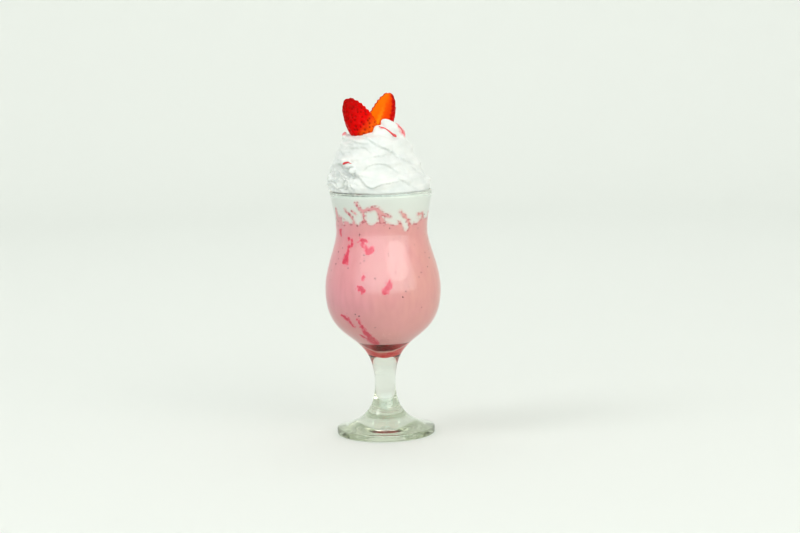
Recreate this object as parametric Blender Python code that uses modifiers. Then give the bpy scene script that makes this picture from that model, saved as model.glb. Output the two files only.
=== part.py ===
"""Strawberry milkshake in a stemmed tulip glass, under piped whipped cream and a halved strawberry.

Metres, +Z up. The origin is the centre of the glass's foot, on the surface that it stands on.
"""

import math

import bmesh
import bpy
import numpy as np
from mathutils import Matrix, Vector
from mathutils.geometry import interpolate_bezier

MM = 0.001
GAP = 0.3 * MM  # between pieces that touch

# Glass: radii are of its outer surface.
GLASS_HEIGHT = 180.0 * MM
RIM_RADIUS = 37.6 * MM
RIM_LEAN = 0.14  # outward run of the lip for each unit of height
NECK_RADIUS = 33.4 * MM
NECK_HEIGHT = 150.5 * MM
BELLY_RADIUS = 42.4 * MM
BELLY_HEIGHT = 107.5 * MM
STEM_RADIUS = 7.6 * MM
STEM_HEIGHT = 37.0 * MM
FOOT_RADIUS = 36.1 * MM
FOOT_EDGE = 5.0 * MM
FOOT_ROUND = 1.2 * MM
FOOT_RING = 28.0 * MM  # inside this radius the underside is hollowed
FOOT_HOLLOW = 1.4 * MM
WALL = 2.1 * MM
BOWL_FLOOR = 58.5 * MM
BOWL_FLOOR_SPREAD = 5.0 * MM
# How far the curves' handles reach, as shares of the height that each curve spans.
LIP_HANDLES = (0.3, 0.4)
WAIST_HANDLES = (0.25, 0.4)
BOWL_HANDLES = (0.607, 0.607)
BOWL_INSIDE_HANDLE = 0.63

# Levels of the contents.
SYRUP_LEVEL = 69.5 * MM
CREAM_LINE = 160.0 * MM  # where cream and shake meet, at the wall
CREAM_LOBES = 18
CREAM_LOBE_DEPTH = 6.5 * MM
CREAM_DIP = 5.0 * MM  # how far the cream sinks in the middle
MEETING_SHARES = (0.0, 0.35, 0.65, 0.82, 1.0)  # rows of the face between them, from the axis out

# Piped rope of cream: turn, radius of its centreline, height above the rim, its own radius.
ROPE = (
    (-1.0, 24.5, -8.0, 12.6),
    (0.0, 24.5, 3.0, 12.4),
    (1.0, 20.4, 16.5, 11.9),
    (2.0, 15.6, 28.5, 11.8),
    (2.6, 12.0, 34.5, 10.6),
    (3.0, 7.0, 38.0, 8.5),
)
ROPE_START = -30.0  # degrees round from +X
ROPE_RIDGES = 8
ROPE_RIDGE_DEPTH = 0.1  # of the rope's radius
ROPE_TWIST = -5.0  # ridges that pass for each turn
RIDGES_FROM = 12.0 * MM  # nearer to the heap's axis they fade out
HEAP_LEAN = -3.4 * MM  # how far the heap stands to one side
HEAP_LEAN_SHARE = 0.3  # of its rows, from the rim up, over which it comes to lean
HEAP_ROWS = 27
HEAP_EYE = 12.0 * MM  # the point that sees all of the heap's surface, above the rim
HEAP_FOOT = 0.8 * MM  # the lowest row, above the rim
HEAP_REACH = 62.0 * MM  # as far as the heap goes from that point
HEAP_REACH_STEP = 0.25 * MM
MOUTH_DEPTH = 0.4 * MM  # the highest row inside the glass, below the rim
CORE_RADIUS = 22.0 * MM
CORE_TOP = 39.0 * MM
SOFTEN = 2.0 * MM  # how softly one turn runs into the next

# The tail that the nozzle leaves on top: place of each blob from the rim's centre, and its radii.
TAIL = (
    ((9.2, -10.0, 45.3), (6.4, 5.0, 6.6)),
    ((17.8, -7.0, 44.0), (5.4, 5.2, 6.8)),
)

# Strawberry: the two halves of one berry.
BERRY_LENGTH = 35.0 * MM
BERRY_WIDTH = 23.0 * MM
BERRY_TAPER = 0.25  # how much wider the stalk end is
BERRY_BLUNTNESS = 0.75  # 1 for an ellipse, less for blunter ends
LEFT_TIP = Vector((-23.3, -6.0, 247.3)) * MM
LEFT_POINTS = Vector((-0.5, -0.06, 0.86))
LEFT_CUT_FACES = Vector((0.3, 0.94, 0.1))
RIGHT_TIP = Vector((8.0, 6.5, 250.4)) * MM
RIGHT_POINTS = Vector((0.4, 0.06, 0.92))
RIGHT_CUT_FACES = Vector((-0.67, -0.74, 0.1))

GLASS_STEPS = 48
CONTENT_STEPS = 72
CONTENT_ANGLES = np.arange(CONTENT_STEPS) * 2 * math.pi / CONTENT_STEPS
BERRY_STEPS = 24


def clear_scene():
    for old in list(bpy.data.objects):
        bpy.data.objects.remove(old)


def collection(name):
    made = bpy.data.collections.new(name)
    bpy.context.scene.collection.children.link(made)
    return made


def material(name, colour, roughness, transmission=0.0):
    made = bpy.data.materials.new(name)
    made.use_nodes = True
    shader = made.node_tree.nodes["Principled BSDF"]
    shader.inputs["Base Color"].default_value = (*colour, 1.0)
    shader.inputs["Roughness"].default_value = roughness
    shader.inputs["Transmission Weight"].default_value = transmission
    made.diffuse_color = (*colour, 1.0)
    return made


def add_object(name, mesh, group, finish=None):
    made = bpy.data.objects.new(name, mesh)
    group.objects.link(made)
    if finish:
        mesh.materials.append(finish)
    mesh.shade_smooth()
    mesh.set_sharp_from_angle(angle=math.radians(40))
    return made


def curve(start, start_handle, end_handle, end, points):
    """Points of a Bezier curve in the (radius, height) plane, without its last one."""
    ends = [Vector((*p, 0.0)) for p in (start, start_handle, end_handle, end)]
    return [(p.x, p.y) for p in interpolate_bezier(*ends, points + 1)[:-1]]


def wall_curve(inset, points):
    """The glass's side from the rim down to the belly, moved in by inset."""
    rim, neck, belly = (r - inset for r in (RIM_RADIUS, NECK_RADIUS, BELLY_RADIUS))
    lip, waist = GLASS_HEIGHT - NECK_HEIGHT, NECK_HEIGHT - BELLY_HEIGHT
    upper = curve(
        (rim, GLASS_HEIGHT),
        (rim - RIM_LEAN * LIP_HANDLES[0] * lip, GLASS_HEIGHT - LIP_HANDLES[0] * lip),
        (neck, NECK_HEIGHT + LIP_HANDLES[1] * lip),
        (neck, NECK_HEIGHT),
        points,
    )
    lower = curve(
        (neck, NECK_HEIGHT),
        (neck, NECK_HEIGHT - WAIST_HANDLES[0] * waist),
        (belly, BELLY_HEIGHT + WAIST_HANDLES[1] * waist),
        (belly, BELLY_HEIGHT),
        points,
    )
    return upper + lower


def bowl_curve(inset, points):
    """The inside of the bowl from the belly down to its floor on the axis, moved in by inset."""
    belly, floor = BELLY_RADIUS - WALL - inset, BOWL_FLOOR + inset
    return curve(
        (belly, BELLY_HEIGHT),
        (belly, BELLY_HEIGHT - BOWL_INSIDE_HANDLE * (BELLY_HEIGHT - floor)),
        (BOWL_FLOOR_SPREAD, floor),
        (0.0, floor),
        points,
    ) + [(0.0, floor)]


def stem_and_foot_curve(points):
    """The outside from the belly down the stem, over the foot and in to the axis."""
    rise = BELLY_HEIGHT - STEM_HEIGHT
    bowl = curve(
        (BELLY_RADIUS, BELLY_HEIGHT),
        (BELLY_RADIUS, BELLY_HEIGHT - BOWL_HANDLES[0] * rise),
        (STEM_RADIUS, STEM_HEIGHT + BOWL_HANDLES[1] * rise),
        (STEM_RADIUS, STEM_HEIGHT),
        points,
    )
    foot = curve(
        (STEM_RADIUS, STEM_HEIGHT),
        (STEM_RADIUS, 0.45 * STEM_HEIGHT),
        (0.5 * FOOT_RADIUS, FOOT_EDGE + 4.2 * MM),
        (FOOT_RADIUS - FOOT_ROUND, FOOT_EDGE),
        points - 3,
    )
    edge = []
    for centre_height, first, last in ((FOOT_EDGE - FOOT_ROUND, 90, 0), (FOOT_ROUND, 0, -90)):
        for step in range(3):
            turn = math.radians(first + (last - first) * step / 2)
            edge.append(
                (
                    FOOT_RADIUS - FOOT_ROUND * (1 - math.cos(turn)),
                    centre_height + FOOT_ROUND * math.sin(turn),
                )
            )
    underside = curve(
        (FOOT_RING, 0.0),
        (0.8 * FOOT_RING, 0.8 * FOOT_HOLLOW),
        (0.5 * FOOT_RING, FOOT_HOLLOW),
        (0.0, FOOT_HOLLOW),
        4,
    )
    return bowl + foot + edge + underside + [(0.0, FOOT_HOLLOW)]


def rim_arc():
    """The rounded lip, from its inner side over the top to its outer side."""
    half = WALL / 2
    middle = RIM_RADIUS - half
    turns = [math.radians(180 - 45 * step) for step in range(1, 4)]
    return [(middle + half * math.cos(t), GLASS_HEIGHT - half + half * math.sin(t)) for t in turns]


def turned(name, profile, steps, group, finish):
    """A solid turned round Z from a profile that runs down its outer side."""
    mesh = bpy.data.meshes.new(name)
    points = [(radius, 0.0, height) for radius, height in profile]
    mesh.from_pydata(points, [(i, i + 1) for i in range(len(points) - 1)], [])
    made = add_object(name, mesh, group, finish)
    screw = made.modifiers.new("turn", "SCREW")
    screw.steps = screw.render_steps = steps
    screw.use_merge_vertices = True
    screw.merge_threshold = 0.01 * MM
    screw.use_smooth_shade = True
    return made


def glass_inside():
    """The inside of the glass from the rim down to the middle of the bowl's floor."""
    return wall_curve(WALL, 5) + bowl_curve(0.0, 8)


def glass_profile():
    """From the bowl's floor up the inside, over the lip and down the outside."""
    below_lip = [p for p in glass_inside() if p[1] < GLASS_HEIGHT - WALL]
    outside = [p for p in wall_curve(0.0, 5) if p[1] < GLASS_HEIGHT - WALL]
    return below_lip[::-1] + rim_arc() + outside + stem_and_foot_curve(9)


def inner_radius(height):
    """The radius that fills the inside of the glass at a height, less the gap."""
    radii, heights = (np.array(column) for column in zip(*glass_inside()[::-1]))
    return np.interp(height - GAP, heights, radii) - GAP


def meeting_height(theta, share):
    """Height of the face between cream and shake, lobed where it nears the wall.

    share runs from 0 on the axis to 1 at the wall.
    """
    phase = CREAM_LOBES / 2 * theta + 0.9 * np.sin(3 * theta) + 0.5 * np.cos(5 * theta)
    lobe = np.abs(np.sin(phase)) * (0.75 + 0.25 * np.sin(4 * theta + 1.0))
    near_wall = np.clip((share - 0.6) / 0.4, 0.0, 1.0)
    return CREAM_LINE - CREAM_DIP * (1 - near_wall) - CREAM_LOBE_DEPTH * lobe * near_wall


def lofted(name, rows, group, finish):
    """A UV sphere whose rows are moved to the given ones, from top to bottom.

    Each row holds its radii and heights for CONTENT_ANGLES, and how far the row stands to one side.
    """
    cage = bmesh.new()
    last = len(rows) - 1
    bmesh.ops.create_uvsphere(cage, u_segments=CONTENT_STEPS, v_segments=last, radius=1.0)
    for vertex in cage.verts:
        polar = math.acos(max(-1.0, min(1.0, vertex.co.z)))
        radii, heights, shift = rows[round(polar / math.pi * last)]
        around = math.atan2(vertex.co.y, vertex.co.x)
        column = round(around / (2 * math.pi) * CONTENT_STEPS) % CONTENT_STEPS
        radius, height = radii[column], heights[column]
        vertex.co = (radius * math.cos(around) + shift, radius * math.sin(around), height)
    bmesh.ops.triangulate(cage, faces=cage.faces, quad_method="SHORT_EDGE")
    mesh = bpy.data.meshes.new(name)
    cage.to_mesh(mesh)
    cage.free()
    return add_object(name, mesh, group, finish)


def meeting_rows(offset):
    """Rows of the face between cream and shake, from the axis out to the wall, moved up by offset."""
    rows = []
    for share in MEETING_SHARES:
        heights = meeting_height(CONTENT_ANGLES, share) + offset
        rows.append((share * inner_radius(heights), heights, 0.0))
    return rows


def milkshake_rows():
    """From the middle of the top face, out to the wall, down it and in under the bottom."""
    low = SYRUP_LEVEL + GAP / 2
    below_lobes = CREAM_LINE - CREAM_LOBE_DEPTH - 2 * MM
    levels = [height for _, height in glass_inside() if low + MM < height < below_lobes]
    rows = meeting_rows(-GAP / 2)
    for level in (*levels, low):
        heights = np.full(CONTENT_STEPS, level)
        rows.append((inner_radius(heights), heights, 0.0))
    rows.append((np.zeros(CONTENT_STEPS), np.full(CONTENT_STEPS, low), 0.0))
    return rows


def syrup_profile():
    """The flat top from the axis out to the wall, then down the bowl's floor to the axis."""
    top = SYRUP_LEVEL - GAP / 2
    low = BOWL_FLOOR + 2 * GAP
    heights = [top, low + 0.5 * (top - low), low + 0.15 * (top - low)]
    side = [(float(inner_radius(height)), height) for height in heights]
    return [(0.0, top), *side, (0.0, BOWL_FLOOR + GAP)]


def rope_at(turn):
    """(radius of the centreline, height, own radius) of the rope of cream."""
    turns, radii, heights, own = (np.array(column) for column in zip(*ROPE))
    return (
        np.interp(turn, turns, radii) * MM,
        GLASS_HEIGHT + np.interp(turn, turns, heights) * MM,
        np.interp(turn, turns, own) * MM,
    )


def soft_union(first, second, width=SOFTEN):
    """Distance to two shapes together, with the corner between them rounded."""
    blend = np.clip(0.5 + 0.5 * (second - first) / width, 0.0, 1.0)
    return second + (first - second) * blend - width * blend * (1 - blend)


def cream_distance(x, y, z):
    """Signed distance from points to the piped heap, below zero inside. x is from the heap's axis."""
    theta, radius = math.radians(ROPE_START) - np.arctan2(y, x), np.hypot(x, y)
    span = np.sqrt((radius / CORE_RADIUS) ** 2 + ((z - GLASS_HEIGHT) / CORE_TOP) ** 2)
    distance = (span - 1) * CORE_RADIUS
    depth = ROPE_RIDGE_DEPTH * np.clip(radius / RIDGES_FROM, 0.0, 1.0)
    first_turn, last_turn = ROPE[0][0], ROPE[-1][0]
    for half_turn, side in ((0.0, 1.0), (0.5, -1.0)):
        for whole in range(-1, 4):
            turn = (theta / (2 * math.pi) + half_turn) % 1.0 + whole
            centre, height, own = rope_at(turn)
            out, up = side * radius - centre, z - height
            phase = np.arctan2(up, out) * ROPE_RIDGES / 2 + math.pi * ROPE_TWIST * turn
            ridge = 2 * np.abs(np.cos(phase)) - 1
            rope = np.hypot(out, up) - own * (1 + depth * ridge)
            ended = (turn < first_turn) | (turn > last_turn)
            distance = np.where(ended, distance, soft_union(distance, rope))
    for place, radii in TAIL:
        px, py, pz = (value * MM for value in place)
        rx, ry, rz = (value * MM for value in radii)
        gap = np.sqrt(
            ((x - px) / rx) ** 2 + ((y - py) / ry) ** 2 + ((z - GLASS_HEIGHT - pz) / rz) ** 2
        )
        distance = soft_union(distance, (gap - 1) * min(rx, ry, rz))
    return distance


def heap_rows():
    """Rows of the heap's outermost surface, from its top down to just over the rim.

    Each is found by looking from a point inside the heap along a cone of rays, for the last step inside.
    """
    eye = GLASS_HEIGHT + HEAP_EYE
    lowest = math.atan2(HEAP_FOOT - HEAP_EYE, RIM_RADIUS)
    reach = np.arange(0.0, HEAP_REACH, HEAP_REACH_STEP)
    rows = []
    for step in range(HEAP_ROWS):
        rise = math.pi / 2 + (lowest - math.pi / 2) * step / (HEAP_ROWS - 1)
        out, up = reach * math.cos(rise), reach * math.sin(rise)
        x = np.outer(np.cos(CONTENT_ANGLES), out)
        y = np.outer(np.sin(CONTENT_ANGLES), out)
        inside = cream_distance(x, y, np.broadcast_to(eye + up, x.shape)) < 0
        last = inside.shape[1] - 1 - np.argmax(inside[:, ::-1], axis=1)
        lean = HEAP_LEAN * min(1.0, (HEAP_ROWS - 1 - step) / (HEAP_LEAN_SHARE * HEAP_ROWS))
        rows.append((out[last], eye + up[last], lean))
    return rows


def cream_rows():
    """The heap, the stretch inside the glass's mouth and the face on the shake."""
    face = meeting_rows(GAP / 2)[::-1]
    low = face[0][1]
    high = GLASS_HEIGHT - MOUTH_DEPTH
    rows = heap_rows()
    for share in (0.0, 0.25, 0.55):
        heights = high + (low - high) * share
        rows.append((inner_radius(heights), heights, 0.0))
    return rows + face


def berry_half(name, place, group, finish, grow=0.0):
    """Half a strawberry, cut lengthways and grown all over by grow.

    place holds its tip, the way that the tip points and the way that the cut faces.
    """
    cage = bmesh.new()
    bmesh.ops.create_uvsphere(cage, u_segments=BERRY_STEPS, v_segments=16, radius=1.0)
    half_width = BERRY_WIDTH / 2 / (1 + 0.23 * BERRY_TAPER)
    for vertex in cage.verts:
        around = math.atan2(vertex.co.y, vertex.co.x)
        along = vertex.co.z
        ring = math.hypot(vertex.co.x, vertex.co.y) ** BERRY_BLUNTNESS
        radius = (half_width * (1 - BERRY_TAPER * along) + grow) * ring
        height = BERRY_LENGTH * (along + 1) / 2 + grow * along
        vertex.co = (radius * math.cos(around), radius * math.sin(around), height)
    cut = bmesh.ops.bisect_plane(
        cage,
        geom=cage.verts[:] + cage.edges[:] + cage.faces[:],
        plane_co=(0, grow, 0),
        plane_no=(0, 1, 0),
        clear_outer=True,
    )
    edges = [part for part in cut["geom_cut"] if isinstance(part, bmesh.types.BMEdge)]
    bmesh.ops.contextual_create(cage, geom=edges)
    bmesh.ops.recalc_face_normals(cage, faces=cage.faces)
    mesh = bpy.data.meshes.new(name)
    cage.to_mesh(mesh)
    cage.free()
    made = add_object(name, mesh, group, finish)
    tip, points, cut_faces = place
    up = points.normalized()
    side = cut_faces.cross(up).normalized()
    turn = Matrix((side, up.cross(side), up)).transposed()
    made.matrix_world = Matrix.Translation(tip - BERRY_LENGTH * up) @ turn.to_4x4()
    return made


def cut_out(target, cutter):
    cutter.hide_render = True
    cutter.display_type = "WIRE"
    cut = target.modifiers.new(cutter.name, "BOOLEAN")
    cut.operation = "DIFFERENCE"
    cut.solver = "EXACT"
    cut.object = cutter


def main():
    clear_scene()
    parts, cutters = collection("strawberry_milkshake"), collection("cutters")
    clear_glass = material("clear glass", (0.92, 0.96, 0.94), 0.02, transmission=1.0)
    pink = material("strawberry milkshake", (0.78, 0.32, 0.36), 0.4)
    red_syrup = material("strawberry syrup", (0.25, 0.0, 0.01), 0.15)
    cream_white = material("whipped cream", (0.9, 0.9, 0.88), 0.5)
    berry_red = material("strawberry", (0.65, 0.02, 0.01), 0.3)

    turned("glass", glass_profile(), GLASS_STEPS, parts, clear_glass)
    lofted("milkshake", milkshake_rows(), parts, pink)
    turned("syrup_pool", syrup_profile(), GLASS_STEPS // 2, parts, red_syrup)
    cream = lofted("whipped_cream", cream_rows(), parts, cream_white)

    halves = {
        "left": (LEFT_TIP, LEFT_POINTS, LEFT_CUT_FACES),
        "right": (RIGHT_TIP, RIGHT_POINTS, RIGHT_CUT_FACES),
    }
    for side, place in halves.items():
        berry_half(f"strawberry_{side}", place, parts, berry_red)
        cut_out(cream, berry_half(f"socket_{side}", place, cutters, None, grow=GAP))


main()
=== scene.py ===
"""Looks of a strawberry milkshake: glass, shake, syrup, whipped cream and a halved strawberry.

Sizes are in metres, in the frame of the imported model. Tables of places on the glass and on the
cream are in degrees round the axis, -90 being the front, and in millimetres.
"""

import math
import random

import bmesh
import bpy
import numpy as np
from mathutils import Matrix, Vector, noise
from mathutils.bvhtree import BVHTree
from mathutils.geometry import interpolate_bezier


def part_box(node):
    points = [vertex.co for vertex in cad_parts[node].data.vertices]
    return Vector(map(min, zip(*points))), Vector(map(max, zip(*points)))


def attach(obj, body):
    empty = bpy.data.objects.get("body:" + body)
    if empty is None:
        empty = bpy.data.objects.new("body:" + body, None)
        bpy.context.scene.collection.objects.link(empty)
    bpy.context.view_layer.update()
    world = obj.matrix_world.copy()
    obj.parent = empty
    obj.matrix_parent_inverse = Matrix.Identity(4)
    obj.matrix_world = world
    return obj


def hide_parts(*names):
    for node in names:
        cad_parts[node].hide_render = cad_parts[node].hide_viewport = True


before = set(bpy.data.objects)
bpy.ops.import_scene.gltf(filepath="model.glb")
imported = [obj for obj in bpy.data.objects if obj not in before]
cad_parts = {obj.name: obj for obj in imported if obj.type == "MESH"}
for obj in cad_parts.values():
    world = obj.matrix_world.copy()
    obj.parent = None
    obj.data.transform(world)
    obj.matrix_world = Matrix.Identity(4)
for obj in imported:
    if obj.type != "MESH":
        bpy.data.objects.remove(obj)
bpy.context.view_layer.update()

MM = 0.001
BODY = "root"
FAR_OUTSIDE = 50.0  # mm, for what no stroke is near

# The glass, from the frame and from the same proportions as its solid.
GLASS_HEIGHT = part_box("glass")[1][2]
BELLY_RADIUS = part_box("glass")[1][0]
BELLY_HEIGHT = 107.5 * MM
RIM_RADIUS = 37.6 * MM
RIM_LEAN = 0.14
NECK_RADIUS = 33.4 * MM
NECK_HEIGHT = 150.5 * MM
STEM_RADIUS = 7.6 * MM
STEM_HEIGHT = 37.0 * MM
FOOT_RADIUS = 36.1 * MM
FOOT_EDGE = 5.0 * MM
FOOT_ROUND = 1.2 * MM
FOOT_RING = 28.0 * MM
FOOT_HOLLOW = 1.4 * MM
FOOT_DOME = 4.2 * MM  # how far the dome stands over the foot's edge, halfway out
WALL = 2.1 * MM
BOWL_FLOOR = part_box("syrup_pool")[0][2] - 0.3 * MM
BOWL_FLOOR_SPREAD = 5.0 * MM
LIP_HANDLES = (0.3, 0.4)
WAIST_HANDLES = (0.25, 0.4)
BOWL_HANDLES = (0.607, 0.607)
BOWL_INSIDE_HANDLE = 0.63
GLASS_STEPS = 144

# What fills it: how high the syrup and the shake stand, and the cream's lobes in the shake.
SYRUP_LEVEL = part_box("syrup_pool")[1][2]
CREAM_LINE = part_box("milkshake")[1][2]
CREAM_LOBES = 18
CREAM_LOBE_DEPTH = 6.5 * MM
CREAM_DIP = 5.0 * MM
LOBES_FROM = 0.6  # the share of the way out to the wall at which the lobes set in

# How far the contents reach into the glass, so that no air shows, each further than the one before.
CREAM_INTO_WALL = 0.06 * MM
SHAKE_INTO_WALL = 0.12 * MM
FILM_INTO_WALL = 0.18 * MM

# The film on the glass's inside where shake and cream run into each other.
FILM_BOTTOM = 147.0 * MM
FILM_TOP = 178.2 * MM
FILM_THICKNESS = 0.4 * MM
FILM_TAPER = 4.0 * MM

# Streaks on the inside of the glass: lines of (angle, height, half width).
PINK_OVER_CREAM = (
    ((-160, 168, 1.2), (-160, 162, 2.2), (-148, 160, 2.0)),
    ((-139, 169, 0.2), (-132, 165, 0.5), (-126, 160, 0.6)),
    ((-127, 168, 0.5), (-122, 165, 0.3)),
    ((-120, 174, 0.5), (-117, 170, 1.1), (-112, 167, 0.9), (-111, 160, 1.0)),
    ((-113, 168, 1.0), (-106, 169, 1.2), (-97, 170, 1.3), (-91, 167, 1.6), (-86, 165, 1.0), (-79, 164, 0.6)),
    ((-91, 167, 1.5), (-89, 159, 1.7)),
    ((-110, 163, 0.8), (-106, 162, 0.7)),
    ((-65, 167, 0.6), (-60, 164, 0.9), (-51, 159, 0.4)),
    ((-28, 164, 0.9), (-29, 152, 1.1)),
    ((-40, 164, 0.4), (-29, 164, 0.8)),
    ((-6, 164, 1.0), (-9, 152, 1.4)),
)
CREAM_OVER_PINK = (
    ((-102, 162.5, 4.9),),
    ((-82, 161, 2.6), (-72, 160, 3.0)),
    ((-61, 160, 2.6), (-57, 155.5, 2.9)),
    ((-46, 160, 3.2), (-38, 160, 2.4)),
    ((-119, 163, 3.2), (-121, 160, 2.4)),
    ((-136, 163, 2.2), (-132, 160, 2.0)),
    ((-148, 164, 1.6), (-146, 158, 1.2)),
)
RED_SMEARS = (
    ((-134, 142, 0.9), (-135, 137, 1.3), (-136, 131.5, 2.9)),
    ((-137, 147, 0.9),),
    ((-130, 146, 0.7), (-130, 142, 0.8)),
    ((-119, 146, 1.0), (-115, 146.5, 1.5), (-110, 146, 0.9)),
    ((-115, 146, 1.2), (-114, 142, 0.8)),
    ((-111, 142, 0.9), (-108, 139.5, 1.6), (-105, 138.5, 2.3), (-102, 141.5, 1.2)),
    ((-110, 122, 0.7), (-110, 120, 1.0)),
    ((-114, 113, 1.8), (-110, 111.5, 1.8)),
    ((-83, 118, 0.7), (-84, 114, 2.1), (-88, 110.5, 1.8)),
    ((-139, 92, 1.2), (-133, 90, 1.4), (-128, 85, 1.0)),
    ((-119, 90, 0.8), (-116, 84, 1.3), (-113, 78, 2.2), (-106, 71, 2.6)),
    ((-124, 78, 0.7), (-113, 72, 2.0)),
    ((-155, 152, 1.5), (-155, 149, 0.8)),
)
# The pale line through the syrup, a painted reflection: its height in front and behind, and its rise to the
# sides.
PALE_LINE = 63.2 * MM
PALE_LINE_RISE = 7.5 * MM
STREAK_GAP = 12.0  # degrees, more or less, between the streaks round the rest of the glass
SHAKE_SPECKS = 110
SPECK_SIZE = (0.75 * MM, 0.5 * MM, 0.3 * MM)

# The piped rope: turn, radius of its centreline, height above the rim, its own radius, in mm.
ROPE = (
    (-1.0, 24.5, -8.0, 12.6),
    (0.0, 24.5, 3.0, 12.4),
    (1.0, 20.4, 16.5, 11.9),
    (2.0, 15.6, 28.5, 11.8),
    (2.6, 12.0, 34.5, 10.6),
    (3.0, 7.0, 38.0, 8.5),
)
ROPE_START = -30.0
ROPE_SIDES = 96
ROPE_RIDGES = 8.0
ROPE_RIDGE_DEPTH = 0.07
ROPE_TWIST = -5.0
ROPE_WANDER = 1.1 * MM
HEAP_LEAN = -3.4 * MM
HEAP_CORE = (22.0 * MM, 22.0 * MM, 39.0 * MM)
# The plug in the glass's mouth: below the cream's line, over the rim, and its flat top's radius.
PLUG_DEPTH = 8.0 * MM
PLUG_RISE = 6.0 * MM
PLUG_TOP = 20.0 * MM
PLUG_INTO_WALL = 0.5 * MM
# How finely the turns are joined at first, and how finely the whole heap is.
BASE_VOXEL = 1.0 * MM
HEAP_VOXEL = 0.7 * MM
# The cream touches the glass up to this far below the rim, where it comes near enough, and from
# there on it leaves the lip free by a gap.
CONTACT_BELOW_RIM = 4.4 * MM
CONTACT_REACH = 1.8 * MM
LIP_GAP = 0.35 * MM

# Small curls laid on the heap: (angle, height over the rim, half width), in mm.
CURLS = (
    ((-148, 21.5, 1.6), (-139, 22.5, 2.3), (-128, 21, 2.6), (-120, 18, 2.2)),
    ((-140, 15, 2.2), (-130, 12, 2.8), (-119, 5, 2.6)),
    ((-160, 13, 2.4), (-150, 9, 2.6), (-140, 4, 2.2)),
)

# The curl at the top: (x, y, height over the rim, half width), in mm.
CURL_TIP = (
    (3.4, -9.5, 50.3, 2.4),
    (5.6, -10.0, 48.7, 4.2),
    (9.2, -10.0, 46.2, 4.3),
    (13.0, -9.5, 42.8, 3.6),
    (16.8, -9.0, 39.2, 2.2),
)
CURL_LIP = (
    (10.6, -5.5, 49.0, 1.1),
    (13.6, -6.0, 46.6, 1.9),
    (16.2, -6.0, 43.6, 2.1),
    (18.0, -6.0, 40.6, 1.8),
    (18.6, -6.0, 37.6, 1.0),
)
CURL_BASE = (
    (-0.5, -10.4, 42.8, 4.8),
    (4.0, -11.0, 41.4, 5.2),
    (8.5, -11.0, 38.6, 5.0),
    (13.0, -10.0, 35.4, 4.4),
)
# A lump of stained cream beside the left berry.
CREAM_LUMP = (
    (-25.2, -6.0, 40.2, 1.8),
    (-25.6, -6.0, 42.0, 1.6),
    (-24.8, -6.0, 43.6, 1.3),
)
CURL_THINNESS = 0.75

# Where the berries press the heap or it swells round them: place, reach and shift, in mm.
PRESSED = (
    ((-19.0, -12.0, 43.0), 9.0, (0.0, 0.0, -2.6)),
    ((-5.0, -12.0, 44.0), 6.0, (0.0, 0.0, 0.9)),
)

# Folds of the cream, each raised on its upper side: (angle, height over the rim, strength), in mm.
FOLDS = (
    ((-129, 42, 0.2), (-105, 39, 0.9), (-82, 33.5, 1.3), (-62, 29, 1.3), (-49, 23.5, 1.2), (-31, 20, 0.4)),
    ((-99, 26, 0.2), (-86, 26.5, 0.9), (-72, 28, 0.7), (-63, 29.5, 0.1)),
    ((-140, 31.5, 0.2), (-124, 32.5, 0.9), (-108, 33, 0.8), (-99, 30, 0.6), (-91, 27, 0.1)),
    ((-107, 15, 0.1), (-101, 19, 0.7), (-89, 21.5, 0.9), (-74, 20, 0.9), (-60, 15, 0.6), (-50, 12, 0.1)),
    ((-131, 16, 0.2), (-121, 16.5, 1.0), (-111, 12, 1.4), (-101, 6.5, 1.5), (-94, 4, 1.3), (-85, 6.5, 1.1),
     (-71, 8, 0.8), (-52, 9.5, 0.1)),
    ((-165, 22, 0.3), (-148, 17, 0.6), (-137, 13, 0.6), (-131, 16, 0.4), (-126, 18, 0.1)),
    ((-154, 26.5, 0.2), (-137, 29.5, 0.6), (-121, 26, 0.2)),
    ((-40, 19, 0.2), (-26, 14, 0.8), (-12, 8, 0.5), (0, 5, 0.1)),
    ((-80, 12.5, 0.1), (-66, 12, 0.6), (-48, 5, 0.6), (-38, 2, 0.1)),
)
LOOSE_FOLDS = 34
FOLD_WIDTH = 4.6
FOLD_UNDERCUT = 0.9
FOLD_UNDERCUT_WIDTH = 1.4
CRINKLED_PATCH = 19.0 * MM
CREASE_GAP = 8.0 * MM
CREASE_DEPTH = 0.45
CREASE_SHARE = 0.12
# Where the heap is broken up: angle, half its spread in degrees, and its top over the rim in mm.
CRUMPLED = ((-148.0, 38.0, 25.0), (60.0, 35.0, 22.0))
CRUMPLE_FADE = (10.0, 6.0)  # it sets in over these degrees and mm
CRUMPLE_DEPTH = 2.1
CRACK_SHARE = 0.16
CRACK_DEPTH = 1.15
HEAP_SHRINK = 0.5  # mm that the heap gives up for its folds to rise from

# The strawberry, before it was halved.
BERRY_LENGTH = 35.0 * MM
BERRY_WIDTH = 23.0 * MM
BERRY_TAPER = 0.25
BERRY_BLUNTNESS = 0.75
BERRY_ROWS = 110
SKIN_COLUMNS = 120
FACE_COLUMNS = 60
BERRY_SEEDS = 190
BERRY_SEED_SIZE = (0.6 * MM, 0.4 * MM, 0.26 * MM)
SEED_DRIFT = 1.2 * MM
EDGE_SEED_GAP = 3.3 * MM
DIMPLE_DEPTH = 0.9 * MM
DIMPLE_RADIUS = 1.3 * MM
DIMPLE_WIDTHS = (0.7, 1.35)
HEART_HOLLOW = 0.5 * MM
HEART_WIDTH = 0.16
FACE_SWELL = 0.25 * MM
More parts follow.
